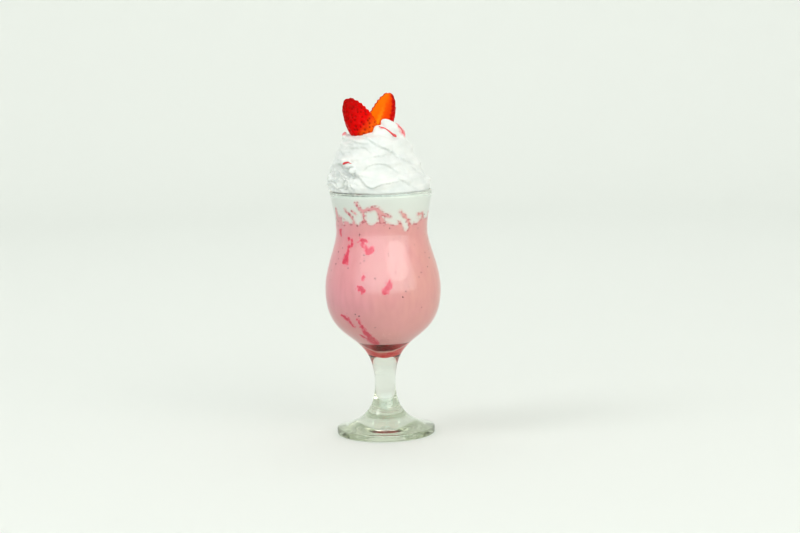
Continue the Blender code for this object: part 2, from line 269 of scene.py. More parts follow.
# Its halves: tip, the way that the tip points, the way that the cut faces, and the way across the
# berry in which its skin turns from red to orange, with where that starts and ends.
BERRIES = {
    "left": (
        (-23.3, -6.0, 247.3),
        (-0.5, -0.06, 0.86),
        (0.3, 0.94, 0.1),
        (0.85, 0.0, -0.53),
        (-132.5, -123.0),
    ),
    "right": (
        (8.0, 6.5, 250.4),
        (0.4, 0.06, 0.92),
        (-0.67, -0.74, 0.1),
        (0.0, 0.0, -1.0),
        (-224.0, -212.0),
    ),
}

# Thin sauce on the cream: (x, y, height over the rim, half width), in mm.
SAUCE_LINE = (
    (0.2, -13.5, 48.2, 0.35),
    (3.4, -14.0, 46.6, 0.45),
    (6.2, -14.5, 44.5, 0.5),
    (9.6, -15.0, 41.9, 0.75),
    (12.0, -15.2, 40.9, 1.0),
    (13.6, -15.4, 40.6, 0.6),
)
SAUCE_DROP = (
    (-26.6, -24.0, 21.2, 0.35),
    (-25.4, -25.0, 21.8, 0.8),
    (-23.4, -26.0, 22.5, 0.7),
    (-20.6, -27.0, 23.2, 0.3),
)
SAUCE_LIP = (
    (10.8, -7.5, 49.4, 0.2),
    (13.2, -8.0, 47.2, 0.4),
    (15.8, -8.0, 44.2, 0.45),
    (17.6, -8.0, 41.4, 0.25),
)
SAUCE_SIDES = 12

# Where juice has stained the cream, in the same terms.
JUICE_STAINS = (
    ((11.6, -8.0, 48.6, 1.6), (14.2, -8.5, 45.6, 2.5), (16.6, -8.5, 42.0, 2.0)),
    ((18.6, -7.5, 43.8, 1.9), (18.6, -8.0, 41.0, 2.5)),
    ((1.6, -13.0, 49.4, 1.0), (1.8, -13.5, 46.5, 1.0)),
    ((-26.4, -7.0, 43.2, 2.3),),
)

# The camera, as far from the glass and as high above its foot as the view needs.
CAMERA_PLACE = (0.0128, -1.472, 0.313)
CAMERA_PITCH = 7.34
CAMERA_ROLL = 1.25
CAMERA_LENS = 91.1
GLASS_BOUNCES = 16  # how often light may turn in the foot before it comes out
SWEEP_FLAT = 1.6
SWEEP_BEND = 0.8
SWEEP_HEIGHT = 3.0
UNDER_FOOT = 0.15 * MM  # the sweep's gap to the glass, which lets light in under the foot


# Settings that many nodes share: a ramp with soft ends, and a mix of colours.
SOFT_ENDS = {"interpolation_type": "SMOOTHSTEP"}
COLOURS = {"data_type": "RGBA"}


# ---------------------------------------------------------------- helpers


def linear(hex_colour):
    """Linear RGBA of an sRGB hex colour."""
    parts = [int(hex_colour[i : i + 2], 16) / 255 for i in (1, 3, 5)]
    return (*(p / 12.92 if p <= 0.04045 else ((p + 0.055) / 1.055) ** 2.4 for p in parts), 1.0)


def node(tree, kind, inputs=None, **settings):
    """Adds a node with its settings. inputs gives each socket a value or what is linked to it.

    A node that is given there stands for its first output.
    """
    made = tree.nodes.new(kind)
    for name, value in settings.items():
        setattr(made, name, value)
    for socket, value in (inputs or {}).items():
        if isinstance(value, bpy.types.Node):
            value = value.outputs[0]
        if isinstance(value, bpy.types.NodeSocket):
            tree.links.new(value, made.inputs[socket])
        else:
            made.inputs[socket].default_value = value
    return made


def new_material(name):
    """(material, its empty node tree)"""
    made = bpy.data.materials.new(name)
    made.use_nodes = True
    made.node_tree.nodes.clear()
    return made, made.node_tree


def scale_for(length):
    """Noise scale whose features are about as long as length."""
    return 1.0 / length


def place_in_scene(name, data):
    made = bpy.data.objects.new(name, data)
    bpy.context.scene.collection.objects.link(made)
    return made


def cage_of(mesh):
    cage = bmesh.new()
    cage.from_mesh(mesh)
    return cage


def close_seams(cage):
    """Joins what lies in one place, and turns every face out."""
    bmesh.ops.remove_doubles(cage, verts=cage.verts, dist=0.001 * MM)
    bmesh.ops.recalc_face_normals(cage, faces=cage.faces)


def mesh_from(cage, name):
    """The mesh of a cage, which is freed."""
    mesh = bpy.data.meshes.new(name)
    cage.to_mesh(mesh)
    cage.free()
    return mesh


def spun(profile, steps, closed=False):
    """A cage turned round Z from (radius, height) points."""
    cage = bmesh.new()
    line = [cage.verts.new((radius, 0.0, height)) for radius, height in profile]
    following = line[1:] + line[:1] if closed else line[1:]
    edges = [cage.edges.new(pair) for pair in zip(line, following)]
    turn = {"axis": (0, 0, 1), "cent": (0, 0, 0), "angle": 2 * math.pi}
    bmesh.ops.spin(cage, geom=line + edges, steps=steps, use_merge=True, **turn)
    return cage


def add_piece(name, mesh, *finishes):
    made = place_in_scene(name, mesh)
    mesh.materials.clear()
    for finish in finishes:
        mesh.materials.append(finish)
    mesh.shade_smooth()
    return made


def settle(piece, slot, *replaced):
    """Hangs a finished piece on the root body, and hides the parts of the model that it replaces."""
    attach(piece, BODY)
    if replaced:
        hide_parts(*replaced)
    return piece


def evaluated_mesh(piece):
    """The piece's mesh with its modifiers applied."""
    graph = bpy.context.evaluated_depsgraph_get()
    return bpy.data.meshes.new_from_object(piece.evaluated_get(graph))


def vertex_places(mesh):
    places = np.empty(len(mesh.vertices) * 3)
    mesh.vertices.foreach_get("co", places)
    return places.reshape(-1, 3)


def move_vertices(mesh, places):
    mesh.vertices.foreach_set("co", places.ravel())
    mesh.update()


def vertex_normals(mesh):
    normals = np.empty(len(mesh.vertices) * 3)
    mesh.vertex_normals.foreach_get("vector", normals)
    return normals.reshape(-1, 3)


def write_attribute(mesh, name, values, kind="FLOAT"):
    made = mesh.attributes.new(name, kind, "POINT")
    made.data.foreach_set("vector" if kind == "FLOAT_VECTOR" else "value", np.ravel(values))


def smooth_path(points, count):
    """count points of a Catmull-Rom curve through the given ones, with all that they carry."""
    given = np.array(points, dtype=float)
    if len(given) == 1:
        return given
    given = np.vstack((2 * given[0] - given[1], given, 2 * given[-1] - given[-2]))
    at = np.linspace(0, len(points) - 1, count)
    first = np.minimum(at.astype(int), len(points) - 2)
    part = (at - first)[:, None]
    a, b, c, d = (given[first + shift] for shift in range(4))
    return 0.5 * (
        2 * b
        + (c - a) * part
        + (2 * a - 5 * b + 4 * c - d) * part**2
        + (3 * b - a - 3 * c + d) * part**3
    )


def reach_into(places, strokes):
    """How far each place lies inside the nearest stroke, in mm, and less than 0 outside.

    A stroke is an array of (x, y, z, half width) in mm.
    """
    places = places / MM
    reach = np.full(len(places), -FAR_OUTSIDE)
    for stroke in strokes:
        following = stroke[1:] if len(stroke) > 1 else stroke
        for start, end in zip(stroke, following):
            run = end[:3] - start[:3]
            part = np.clip((places - start[:3]) @ run / max(run @ run, 1e-9), 0.0, 1.0)
            gap = np.linalg.norm(places - start[:3] - part[:, None] * run, axis=1)
            reach = np.maximum(reach, start[3] + (end[3] - start[3]) * part - gap)
    return reach


def noise_at(places, wavelength, seed=0.0):
    """Smooth noise from -1 to 1 at each place."""
    shift = Vector((seed, 2.3 * seed, 3.1 * seed))
    return np.array([noise.noise(Vector(p) + shift) for p in places / wavelength])


# ---------------------------------------------------------------- glass shape


def curve(start, start_handle, end_handle, end, points):
    """Points of a Bezier curve in the (radius, height) plane, without its last one."""
    ends = [Vector((*p, 0.0)) for p in (start, start_handle, end_handle, end)]
    return [(p.x, p.y) for p in interpolate_bezier(*ends, points + 1)[:-1]]


def wall_curve(inset, points):
    """The glass's side from the rim down to the belly, moved in by inset."""
    rim, neck, belly = (r - inset for r in (RIM_RADIUS, NECK_RADIUS, BELLY_RADIUS))
    lip, waist = GLASS_HEIGHT - NECK_HEIGHT, NECK_HEIGHT - BELLY_HEIGHT
    upper = curve(
        (rim, GLASS_HEIGHT),
        (rim - RIM_LEAN * LIP_HANDLES[0] * lip, GLASS_HEIGHT - LIP_HANDLES[0] * lip),
        (neck, NECK_HEIGHT + LIP_HANDLES[1] * lip),
        (neck, NECK_HEIGHT),
        points,
    )
    lower = curve(
        (neck, NECK_HEIGHT),
        (neck, NECK_HEIGHT - WAIST_HANDLES[0] * waist),
        (belly, BELLY_HEIGHT + WAIST_HANDLES[1] * waist),
        (belly, BELLY_HEIGHT),
        points,
    )
    return upper + lower


def bowl_curve(points):
    """The inside of the bowl from the belly down to its floor on the axis."""
    belly = BELLY_RADIUS - WALL
    return curve(
        (belly, BELLY_HEIGHT),
        (belly, BELLY_HEIGHT - BOWL_INSIDE_HANDLE * (BELLY_HEIGHT - BOWL_FLOOR)),
        (BOWL_FLOOR_SPREAD, BOWL_FLOOR),
        (0.0, BOWL_FLOOR),
        points,
    ) + [(0.0, BOWL_FLOOR)]


def stem_and_foot_curve(points):
    """The outside from the belly down the stem, over the foot and in to the axis."""
    rise = BELLY_HEIGHT - STEM_HEIGHT
    bowl = curve(
        (BELLY_RADIUS, BELLY_HEIGHT),
        (BELLY_RADIUS, BELLY_HEIGHT - BOWL_HANDLES[0] * rise),
        (STEM_RADIUS, STEM_HEIGHT + BOWL_HANDLES[1] * rise),
        (STEM_RADIUS, STEM_HEIGHT),
        points,
    )
    foot = curve(
        (STEM_RADIUS, STEM_HEIGHT),
        (STEM_RADIUS, 0.45 * STEM_HEIGHT),
        (0.5 * FOOT_RADIUS, FOOT_EDGE + FOOT_DOME),
        (FOOT_RADIUS - FOOT_ROUND, FOOT_EDGE),
        points,
    )
    edge = []
    for centre_height, first, last in ((FOOT_EDGE - FOOT_ROUND, 90, 0), (FOOT_ROUND, 0, -90)):
        for step in range(7):
            turn = math.radians(first + (last - first) * step / 6)
            out, up = FOOT_ROUND * math.cos(turn), FOOT_ROUND * math.sin(turn)
            edge.append((FOOT_RADIUS - FOOT_ROUND + out, centre_height + up))
    underside = curve(
        (FOOT_RING, 0.0),
        (0.8 * FOOT_RING, 0.8 * FOOT_HOLLOW),
        (0.5 * FOOT_RING, FOOT_HOLLOW),
        (0.0, FOOT_HOLLOW),
        16,
    )
    return bowl + foot + edge + underside + [(0.0, FOOT_HOLLOW)]


def rim_arc():
    """The rounded lip, from its inner side over the top to its outer side."""
    half = WALL / 2
    middle = RIM_RADIUS - half
    turns = [math.radians(180 - 15 * step) for step in range(1, 12)]
    return [(middle + half * math.cos(t), GLASS_HEIGHT - half + half * math.sin(t)) for t in turns]


INSIDE = np.array((wall_curve(WALL, 60) + bowl_curve(60))[::-1])


def inner_wall(height):
    """Radius of the glass's inner surface at a height."""
    return np.interp(height, INSIDE[:, 1], INSIDE[:, 0])


def turned(name, profile, steps, finish, closed=False):
    """A closed surface turned round Z. A closed profile joins its last point to its first."""
    cage = spun(profile, steps, closed)
    close_seams(cage)
    return add_piece(name, mesh_from(cage, name), finish)


def make_glass(finish):
    below_lip = [p for p in wall_curve(WALL, 40)[1:] + bowl_curve(50) if p[1] < GLASS_HEIGHT - WALL]
    outside = [p for p in wall_curve(0.0, 40) if p[1] < GLASS_HEIGHT - WALL]
    profile = below_lip[::-1] + rim_arc() + outside + stem_and_foot_curve(45)
    return settle(turned("clear_glass", profile, GLASS_STEPS, finish), "glass", "glass")


# ---------------------------------------------------------------- streaks on the glass


def on_wall(stroke):
    """A stroke of (angle, height, half width) as (x, y, z, half width) on the inside of the glass."""
    path = smooth_path(stroke, 4 * len(stroke))
    angle, height, half = np.radians(path[:, 0]), path[:, 1], path[:, 2]
    radius = inner_wall(height * MM) / MM
    return np.stack((radius * np.cos(angle), radius * np.sin(angle), height, half), axis=1)


def streaks_round_the_back():
    """(pink over cream, cream over pink, red smears) where the front's tables have none."""
    draw = random.Random(41)
    pink, cream, red = [], [], []
    angle = 12.0
    while angle < 190.0:
        low, high = draw.uniform(154, 159), draw.uniform(160, 172)
        lean, bend = draw.uniform(-10, 7), draw.uniform(-3, 3)
        thick = draw.uniform(0.5, 2.3)
        middle = (angle + 0.5 * lean + bend, 0.5 * (low + high), 0.8 * thick)
        pink.append(((angle, low, thick), middle, (angle + lean, high, draw.uniform(0.2, 1.2))))
        if draw.random() < 0.25:
            arch = (angle + lean + 9, high - 1.5, 1.4)
            pink.append(((angle + lean, high, 1.0), arch, (angle + 14, low + 4, 0.4)))
        cream.append(((angle + draw.uniform(2, 9), draw.uniform(154, 164), draw.uniform(1.4, 4.6)),))
        if draw.random() < 0.7:
            height = draw.uniform(75, 148)
            half = draw.uniform(0.7, 1.9)
            run = draw.uniform(2, 7)
            red.append(((angle, height, 0.5 * half), (angle + draw.uniform(-3, 3), height - run, half)))
        angle += draw.uniform(0.5, 1.9) * STREAK_GAP
    return pink, cream, red


def write_streaks(mesh):
    """Marks how far each vertex is inside the cream and inside the red smears, in mm."""
    back_pink, back_cream, back_red = streaks_round_the_back()
    places = vertex_places(mesh)
    pink = reach_into(places, [on_wall(s) for s in (*PINK_OVER_CREAM, *back_pink)])
    blobs = reach_into(places, [on_wall(s) for s in (*CREAM_OVER_PINK, *back_cream)])
    above = (places[:, 2] - CREAM_LINE) / MM
    write_attribute(mesh, "cream_reach", np.maximum(np.minimum(above, -pink), blobs))
    write_attribute(mesh, "smear_reach", reach_into(places, [on_wall(s) for s in (*RED_SMEARS, *back_red)]))


# ---------------------------------------------------------------- seeds and swept lines


def geometry_tree(name, *sockets):
    """(Geometry Nodes tree, its input node), with a socket for each (label, kind)."""
    tree = bpy.data.node_groups.new(name, "GeometryNodeTree")
    for label, kind in (("Geometry", "Geometry"), *sockets):
        tree.interface.new_socket(label, in_out="INPUT", socket_type="NodeSocket" + kind)
    tree.interface.new_socket("Geometry", in_out="OUTPUT", socket_type="NodeSocketGeometry")
    return tree, node(tree, "NodeGroupInput")


def close_tree(tree, geometry, finish):
    real = node(tree, "GeometryNodeRealizeInstances", {"Geometry": geometry})
    painted = node(tree, "GeometryNodeSetMaterial", {"Geometry": real, "Material": finish})
    node(tree, "NodeGroupOutput", {"Geometry": painted})
    return tree


def made_by(tree, name, mesh, values):
    """The mesh that the tree makes of this one, with values for its sockets."""
    holder = place_in_scene(name, mesh)
    modifier = holder.modifiers.new("nodes", "NODES")
    modifier.node_group = tree
    for socket in tree.interface.items_tree:
        if socket.name in values:
            modifier[socket.identifier] = values[socket.name]
    made = evaluated_mesh(holder)
    bpy.data.objects.remove(holder)
    return made


def scatter_tree(name, finish):
    """Geometry Nodes that put a seed on each point, facing out and laid along."""
    tree, given = geometry_tree(name, ("Seed size", "Vector"))
    facing, along, growth = (
        node(tree, "GeometryNodeInputNamedAttribute", {"Name": label}, data_type=kind)
        for label, kind in (("facing", "FLOAT_VECTOR"), ("along", "FLOAT_VECTOR"), ("growth", "FLOAT"))
    )
    ball = node(tree, "GeometryNodeMeshIcoSphere", {"Radius": 1.0, "Subdivisions": 2})
    out = node(tree, "FunctionNodeAlignRotationToVector", {"Vector": facing}, axis="Z")
    inputs = {"Rotation": out, "Vector": along}
    laid = node(tree, "FunctionNodeAlignRotationToVector", inputs, axis="X", pivot_axis="Z")
    inputs = {0: given.outputs["Seed size"], "Scale": growth}
    size = node(tree, "ShaderNodeVectorMath", inputs, operation="SCALE")
    inputs = {"Points": given.outputs["Geometry"], "Instance": ball, "Rotation": laid, "Scale": size}
    return close_tree(tree, node(tree, "GeometryNodeInstanceOnPoints", inputs), finish)


def scattered(name, places, facing, along, growth, size, finish):
    """One mesh of a seed at each place."""
    mesh = bpy.data.meshes.new(name)
    mesh.from_pydata(np.asarray(places).tolist(), [], [])
    write_attribute(mesh, "facing", facing, "FLOAT_VECTOR")
    write_attribute(mesh, "along", along, "FLOAT_VECTOR")
    write_attribute(mesh, "growth", growth)
    seeds = made_by(scatter_tree(name, finish), name, mesh, {"Seed size": size})
    return add_piece(name, seeds, finish)


def sweep_tree(name, finish):
    """Geometry Nodes that sweep a ridged round section along a path."""
    sockets = (("Ridges", "Float"), ("Ridge depth", "Float"), ("Sides", "Int"))
    tree, given = geometry_tree(name, *sockets)
    own, twist = (
        node(tree, "GeometryNodeInputNamedAttribute", {"Name": label}, data_type="FLOAT")
        for label in ("own_radius", "twist")
    )
    path = node(tree, "GeometryNodeMeshToCurve", {"Mesh": given.outputs["Geometry"]})
    path = node(tree, "GeometryNodeSetCurveNormal", {"Curve": path}, mode="Z_UP")
    path = node(tree, "GeometryNodeSetCurveTilt", {"Curve": path, "Tilt": twist})
    inputs = {"Resolution": given.outputs["Sides"], "Radius": 1.0}
    circle = node(tree, "GeometryNodeCurvePrimitiveCircle", inputs)

    place = node(tree, "GeometryNodeInputPosition")
    axes = node(tree, "ShaderNodeSeparateXYZ", {"Vector": place}).outputs
    angle = node(tree, "ShaderNodeMath", {0: axes["Y"], 1: axes["X"]}, operation="ARCTAN2")
    half = node(tree, "ShaderNodeMath", {0: given.outputs["Ridges"], 1: 0.5}, operation="MULTIPLY")
    phase = node(tree, "ShaderNodeMath", {0: angle, 1: half}, operation="MULTIPLY")
    wave = node(tree, "ShaderNodeMath", {0: phase}, operation="COSINE")
    crest = node(tree, "ShaderNodeMath", {0: wave}, operation="ABSOLUTE")
    centred = node(tree, "ShaderNodeMath", {0: crest, 1: 2.0, 2: -1.0}, operation="MULTIPLY_ADD")
    inputs = {0: centred, 1: given.outputs["Ridge depth"], 2: 1.0}
    grow = node(tree, "ShaderNodeMath", inputs, operation="MULTIPLY_ADD")
    ridged = node(tree, "ShaderNodeVectorMath", {0: place, "Scale": grow}, operation="SCALE")
    section = node(tree, "GeometryNodeSetPosition", {"Geometry": circle, "Position": ridged})
    inputs = {"Curve": path, "Profile Curve": section, "Scale": own, "Fill Caps": True}
    return close_tree(tree, node(tree, "GeometryNodeCurveToMesh", inputs), finish)


def swept(name, places, own, twist, finish, sides, ridges=0.0, ridge_depth=0.0):
    """The mesh of a section swept along places."""
    mesh = bpy.data.meshes.new(name)
    mesh.from_pydata(places.tolist(), [(i, i + 1) for i in range(len(places) - 1)], [])
    write_attribute(mesh, "own_radius", own)
    write_attribute(mesh, "twist", twist)
    values = {"Sides": sides, "Ridges": ridges, "Ridge depth": ridge_depth}
    return made_by(sweep_tree(name, finish), name, mesh, values)


# ---------------------------------------------------------------- contents


def meeting_height(theta, share):
    """Height of the face between cream and shake, lobed where it nears the wall.

    share runs from 0 on the axis to 1 at the wall.
    """
    phase = CREAM_LOBES / 2 * theta + 0.9 * np.sin(3 * theta) + 0.5 * np.cos(5 * theta)
    lobe = np.abs(np.sin(phase)) * (0.75 + 0.25 * np.sin(4 * theta + 1.0))
    near_wall = np.clip((share - LOBES_FROM) / (1 - LOBES_FROM), 0.0, 1.0)
    return CREAM_LINE - CREAM_DIP * (1 - near_wall) - CREAM_LOBE_DEPTH * lobe * near_wall


def make_shake(finish):
    """The shake, up to the lobes of the cream and just into the wall."""
    low = CREAM_LINE - 2 * CREAM_LOBE_DEPTH
    heights = np.linspace(CREAM_LINE, SYRUP_LEVEL, 150)
    side = [(float(inner_wall(z)) + SHAKE_INTO_WALL, float(z)) for z in heights]
    top = [(side[0][0] * share, CREAM_LINE) for share in np.linspace(0.0, 1.0, 24)[:-1]]
    profile = top + side + [(0.5 * side[-1][0], SYRUP_LEVEL), (0.0, SYRUP_LEVEL)]
    piece = turned("shake", profile, 2 * GLASS_STEPS, finish)
    places = vertex_places(piece.data)
    theta = np.arctan2(places[:, 1], places[:, 0])
    radius = np.hypot(places[:, 0], places[:, 1])
    share = np.clip(radius / side[0][0], 0.0, 1.0)
    on_top = (places[:, 2] > CREAM_LINE - 0.01 * MM) & (share < 0.999)
    squeezed = (places[:, 2] - low) / (CREAM_LINE - low)
    lowered = low + squeezed * (meeting_height(theta, 1.0) - low)
    near_top = (places[:, 2] > low) & ~on_top
    height = np.where(on_top, meeting_height(theta, share), np.where(near_top, lowered, places[:, 2]))
    wanted = np.where(near_top, inner_wall(height) + SHAKE_INTO_WALL, radius)
    scale = wanted / np.maximum(radius, 1e-9)
    move_vertices(piece.data, np.stack((places[:, 0] * scale, places[:, 1] * scale, height), axis=1))
    write_streaks(piece.data)
    return settle(piece, "milkshake", "milkshake")


def make_film(finish):
    """Where shake and cream run into each other down the inside of the glass."""
    heights = np.linspace(FILM_TOP, FILM_BOTTOM, 78)
    from_end = np.minimum(heights - FILM_BOTTOM, FILM_TOP - heights)
    into_wall = FILM_INTO_WALL - FILM_THICKNESS * np.clip(1 - from_end / FILM_TAPER, 0.0, 1.0) ** 2
    outer = [(float(inner_wall(z) + into), float(z)) for z, into in zip(heights, into_wall)]
    inner = [(float(inner_wall(z)) - 2 * FILM_THICKNESS, float(z)) for z in heights[::-7]]
    piece = turned("run_of_cream_and_shake", outer + inner, 4 * GLASS_STEPS, finish, closed=True)
    write_streaks(piece.data)
    return settle(piece, "milkshake")


def make_syrup(finish):
    side = [p for p in bowl_curve(120) if p[1] < SYRUP_LEVEL - 0.1 * MM]
    side = [(r + SHAKE_INTO_WALL, z - SHAKE_INTO_WALL) for r, z in side[:-1]]
    profile = [(0.0, SYRUP_LEVEL), (side[0][0], SYRUP_LEVEL)] + side
    profile += [(0.0, BOWL_FLOOR - SHAKE_INTO_WALL)]
    piece = turned("syrup", profile, GLASS_STEPS, finish)
    places = vertex_places(piece.data)
    sideways = np.cos(np.arctan2(places[:, 1], places[:, 0])) ** 4
    # Height over the pale line of painted reflection, in mm, which also parts the deep syrup from the
    # bright.
    write_attribute(piece.data, "over_pale_line", (places[:, 2] - PALE_LINE - PALE_LINE_RISE * sideways) / MM)
    return settle(piece, "syrup", "syrup_pool")


def make_specks(finish):
    """Strawberry seeds and skin in the shake, where they lie against the glass."""
    draw = random.Random(7)
    places, facing, growth = [], [], []
    for _ in range(SHAKE_SPECKS):
        angle = draw.uniform(0, 2 * math.pi)
        height = draw.triangular(SYRUP_LEVEL + 3 * MM, CREAM_LINE + 7 * MM, CREAM_LINE - 4 * MM)
        radius = float(inner_wall(height))
        places.append((radius * math.cos(angle), radius * math.sin(angle), height))
        facing.append((math.cos(angle), math.sin(angle), 0.0))
        growth.append(draw.uniform(0.55, 1.15))
    along = [(draw.uniform(-1, 1), draw.uniform(-1, 1), draw.uniform(-1, 1)) for _ in places]
    specks = scattered("seeds_in_the_shake", places, facing, along, growth, SPECK_SIZE, finish)
    return settle(specks, "strawberry")


# ---------------------------------------------------------------- cream


def rope_at(turn):
    """(radius of the centreline, height, own radius) of the rope of cream."""
    turns, radii, heights, own = (np.array(column) for column in zip(*ROPE))
    return (
        np.interp(turn, turns, radii) * MM,
        GLASS_HEIGHT + np.interp(turn, turns, heights) * MM,
        np.interp(turn, turns, own) * MM,
    )


def rope_points():
    """(places, own radius, twist) of points along the rope."""
    turns = np.linspace(ROPE[0][0], ROPE[-1][0], 240)
    centre, height, own = rope_at(turns)
    theta = math.radians(ROPE_START) - turns * 2 * math.pi
    lean = HEAP_LEAN * np.clip((height - GLASS_HEIGHT) / (8 * MM), 0.0, 1.0)
    centre = centre + ROPE_WANDER * noise_at(turns[:, None] * (1.0, 0.0, 0.0), 0.23, 1.0)
    height = height + ROPE_WANDER * noise_at(turns[:, None] * (1.0, 0.0, 0.0), 0.31, 5.0)
    places = np.stack((centre * np.cos(theta) + lean, centre * np.sin(theta), height), axis=1)
    return places, own, math.pi * 2 * ROPE_TWIST * turns / ROPE_RIDGES


def add_beads(cage, path, thinness=1.0):
    """Balls along a path of (x, y, z, radius) in mm, which a remesh then joins."""
    for x, y, z, radius in path:
        size = Matrix.Diagonal((radius * MM, thinness * radius * MM, radius * MM, 1.0))
        matrix = Matrix.Translation(Vector((x, y, z)) * MM) @ size
        bmesh.ops.create_icosphere(cage, subdivisions=3, radius=1.0, matrix=matrix)


def joined(name, cage, finish, voxel, rounds):
    """One closed surface round all that the cage holds, smoothed for some rounds."""
    piece = add_piece(name, mesh_from(cage, name), finish)
    remesh = piece.modifiers.new("remesh", "REMESH")
    remesh.mode = "VOXEL"
    remesh.voxel_size = voxel
    relax(piece, rounds)
    return piece


def relax(piece, rounds):
    """Applies the piece's modifiers and evens out its surface."""
    smooth = piece.modifiers.new("smooth", "SMOOTH")
    smooth.factor = 0.5
    smooth.iterations = rounds
    mesh = evaluated_mesh(piece)
    piece.modifiers.clear()
    piece.data = mesh
    mesh.shade_smooth()


def heap_base(finish):
    """The rope's turns, run together, with the plug in the glass's mouth."""
    places, own, twist = rope_points()
    ridges = {"ridges": ROPE_RIDGES, "ridge_depth": ROPE_RIDGE_DEPTH}
    cage = cage_of(swept("piped_rope", places, own, twist, finish, ROPE_SIDES, **ridges))
    low, high = CREAM_LINE - PLUG_DEPTH, GLASS_HEIGHT + PLUG_RISE
    heights = np.linspace(GLASS_HEIGHT - 1 * MM, low, 30)
    side = [(float(inner_wall(z)) + PLUG_INTO_WALL, float(z)) for z in heights]
    plug = [(0.0, high), (PLUG_TOP, high), *side, (0.0, low)]
    core = turned("plug", plug, 96, finish)
    cage.from_mesh(core.data)
    bpy.data.objects.remove(core)
    middle = Matrix.Translation((HEAP_LEAN, 0.0, GLASS_HEIGHT)) @ Matrix.Diagonal((*HEAP_CORE, 1.0))
    bmesh.ops.create_uvsphere(cage, u_segments=48, v_segments=32, radius=1.0, matrix=middle)
    return joined("heap_base", cage, finish, BASE_VOXEL, 10)


def on_heap(tree, angle, height):
    """The heap's surface at an angle round its axis and a height over the rim in mm."""
    angle = math.radians(angle)
    axis = Vector((HEAP_LEAN, 0.0, GLASS_HEIGHT + height * MM))
    way = Vector((math.cos(angle), math.sin(angle), 0.0))
    found = tree.ray_cast(axis + 60 * MM * way, -way)[0]
    return (found or axis) / MM


def loose_folds():
    """Folds all round the heap, each falling to the right as the piped turns do."""
    draw = random.Random(23)
    folds = []
    for _ in range(LOOSE_FOLDS):
        angle, height = draw.uniform(-20, 215), draw.uniform(4, 40)
        length, fall = draw.uniform(25, 70), draw.uniform(2, 11)
        strength = draw.uniform(0.6, 1.4)
        bend = draw.uniform(-2.5, 2.5)
        folds.append(
            (
                (angle, height, 0.1),
                (angle + 0.35 * length, height - 0.3 * fall + bend, strength),
                (angle + 0.7 * length, height - 0.8 * fall + 0.5 * bend, 0.8 * strength),
                (angle + length, height - fall, 0.1),
            )
        )
    return folds


def fold_lift(places):
    """How far, in mm, each place of the heap is lifted or sunk by its folds."""
    angle = np.degrees(np.arctan2(places[:, 1], places[:, 0] - HEAP_LEAN))
    across = np.hypot(places[:, 0] - HEAP_LEAN, places[:, 1]) / MM * math.pi / 180
    height = (places[:, 2] - GLASS_HEIGHT) / MM
    lift = np.zeros(len(places))
    for fold in (*FOLDS, *loose_folds()):
        path = smooth_path(fold, 5 * len(fold))
        nearest = np.full(len(places), 1e9)
        signed, push = np.zeros(len(places)), np.zeros(len(places))
        for start, end in zip(path, path[1:]):
            out = ((angle - start[0] + 180) % 360 - 180) * across
            up = height - start[1]
            run_out, run_up = (end[0] - start[0]) * across, end[1] - start[1]
            part = np.clip((out * run_out + up * run_up) / (run_out**2 + run_up**2 + 1e-9), 0.0, 1.0)
            gap = np.hypot(out - part * run_out, up - part * run_up)
            closer = gap < nearest
            nearest = np.where(closer, gap, nearest)
            signed = np.where(closer, gap * np.sign(run_out * up - run_up * out), signed)
            push = np.where(closer, start[2] + (end[2] - start[2]) * part, push)
        over = np.exp(-np.maximum(signed, 0.0) / FOLD_WIDTH)
        under = -FOLD_UNDERCUT * np.exp(np.minimum(signed, 0.0) / FOLD_UNDERCUT_WIDTH)
        lift += push * np.where(signed > 0, over, under)
    return lift * np.clip((height + 0.5) / 3.0, 0.0, 1.0)


def crumple(places):
    """How far, in mm, the cream is broken up where it was pushed against the glass."""
    angle = np.degrees(np.arctan2(places[:, 1], places[:, 0] - HEAP_LEAN))
    height = (places[:, 2] - GLASS_HEIGHT) / MM
    total = np.zeros(len(places))
    for middle, half, top in CRUMPLED:
        aside = np.abs((angle - middle + 180) % 360 - 180)
        across, down = (half - aside) / CRUMPLE_FADE[0], (top - height) / CRUMPLE_FADE[1]
        total = np.maximum(total, np.clip(across, 0.0, 1.0) * np.clip(down, 0.0, 1.0))
    lumps = noise_at(places, 4.2 * MM, 8.0) + 0.7 * noise_at(places, 2.4 * MM, 9.0)
    cracks = np.clip(1 - np.abs(noise_at(places, 5.5 * MM, 10.0)) / CRACK_SHARE, 0.0, 1.0)
    return CRUMPLE_DEPTH * total * (lumps - CRACK_DEPTH * cracks)


def add_curls(cage):
    """Curls laid on the heap, the curl at its top, and the lump beside the left berry."""
    tree = BVHTree.FromBMesh(cage)
    for curl in CURLS:
        path = smooth_path(curl, 10)
        places = [on_heap(tree, angle, height) for angle, height, _ in path]
        add_beads(cage, [(*place, half) for place, half in zip(places, path[:, 2])])
    parts = ((CURL_TIP, CURL_THINNESS), (CURL_LIP, CURL_THINNESS), (CURL_BASE, 1.0), (CREAM_LUMP, 1.0))
    for curl, thinness in parts:
        path = smooth_path(curl, 16)
        path[:, 2] += GLASS_HEIGHT / MM
        add_beads(cage, path, thinness)


def pressed(places):
    """The heap's places, moved where the berries press it or it swells round them."""
    for centre, reach, shift in PRESSED:
        centre = np.array(centre) * MM + (0.0, 0.0, GLASS_HEIGHT)
        gap = np.linalg.norm(places - centre, axis=1) / (reach * MM)
        places = places + np.exp(-(gap**2))[:, None] * np.array(shift) * MM
    return places


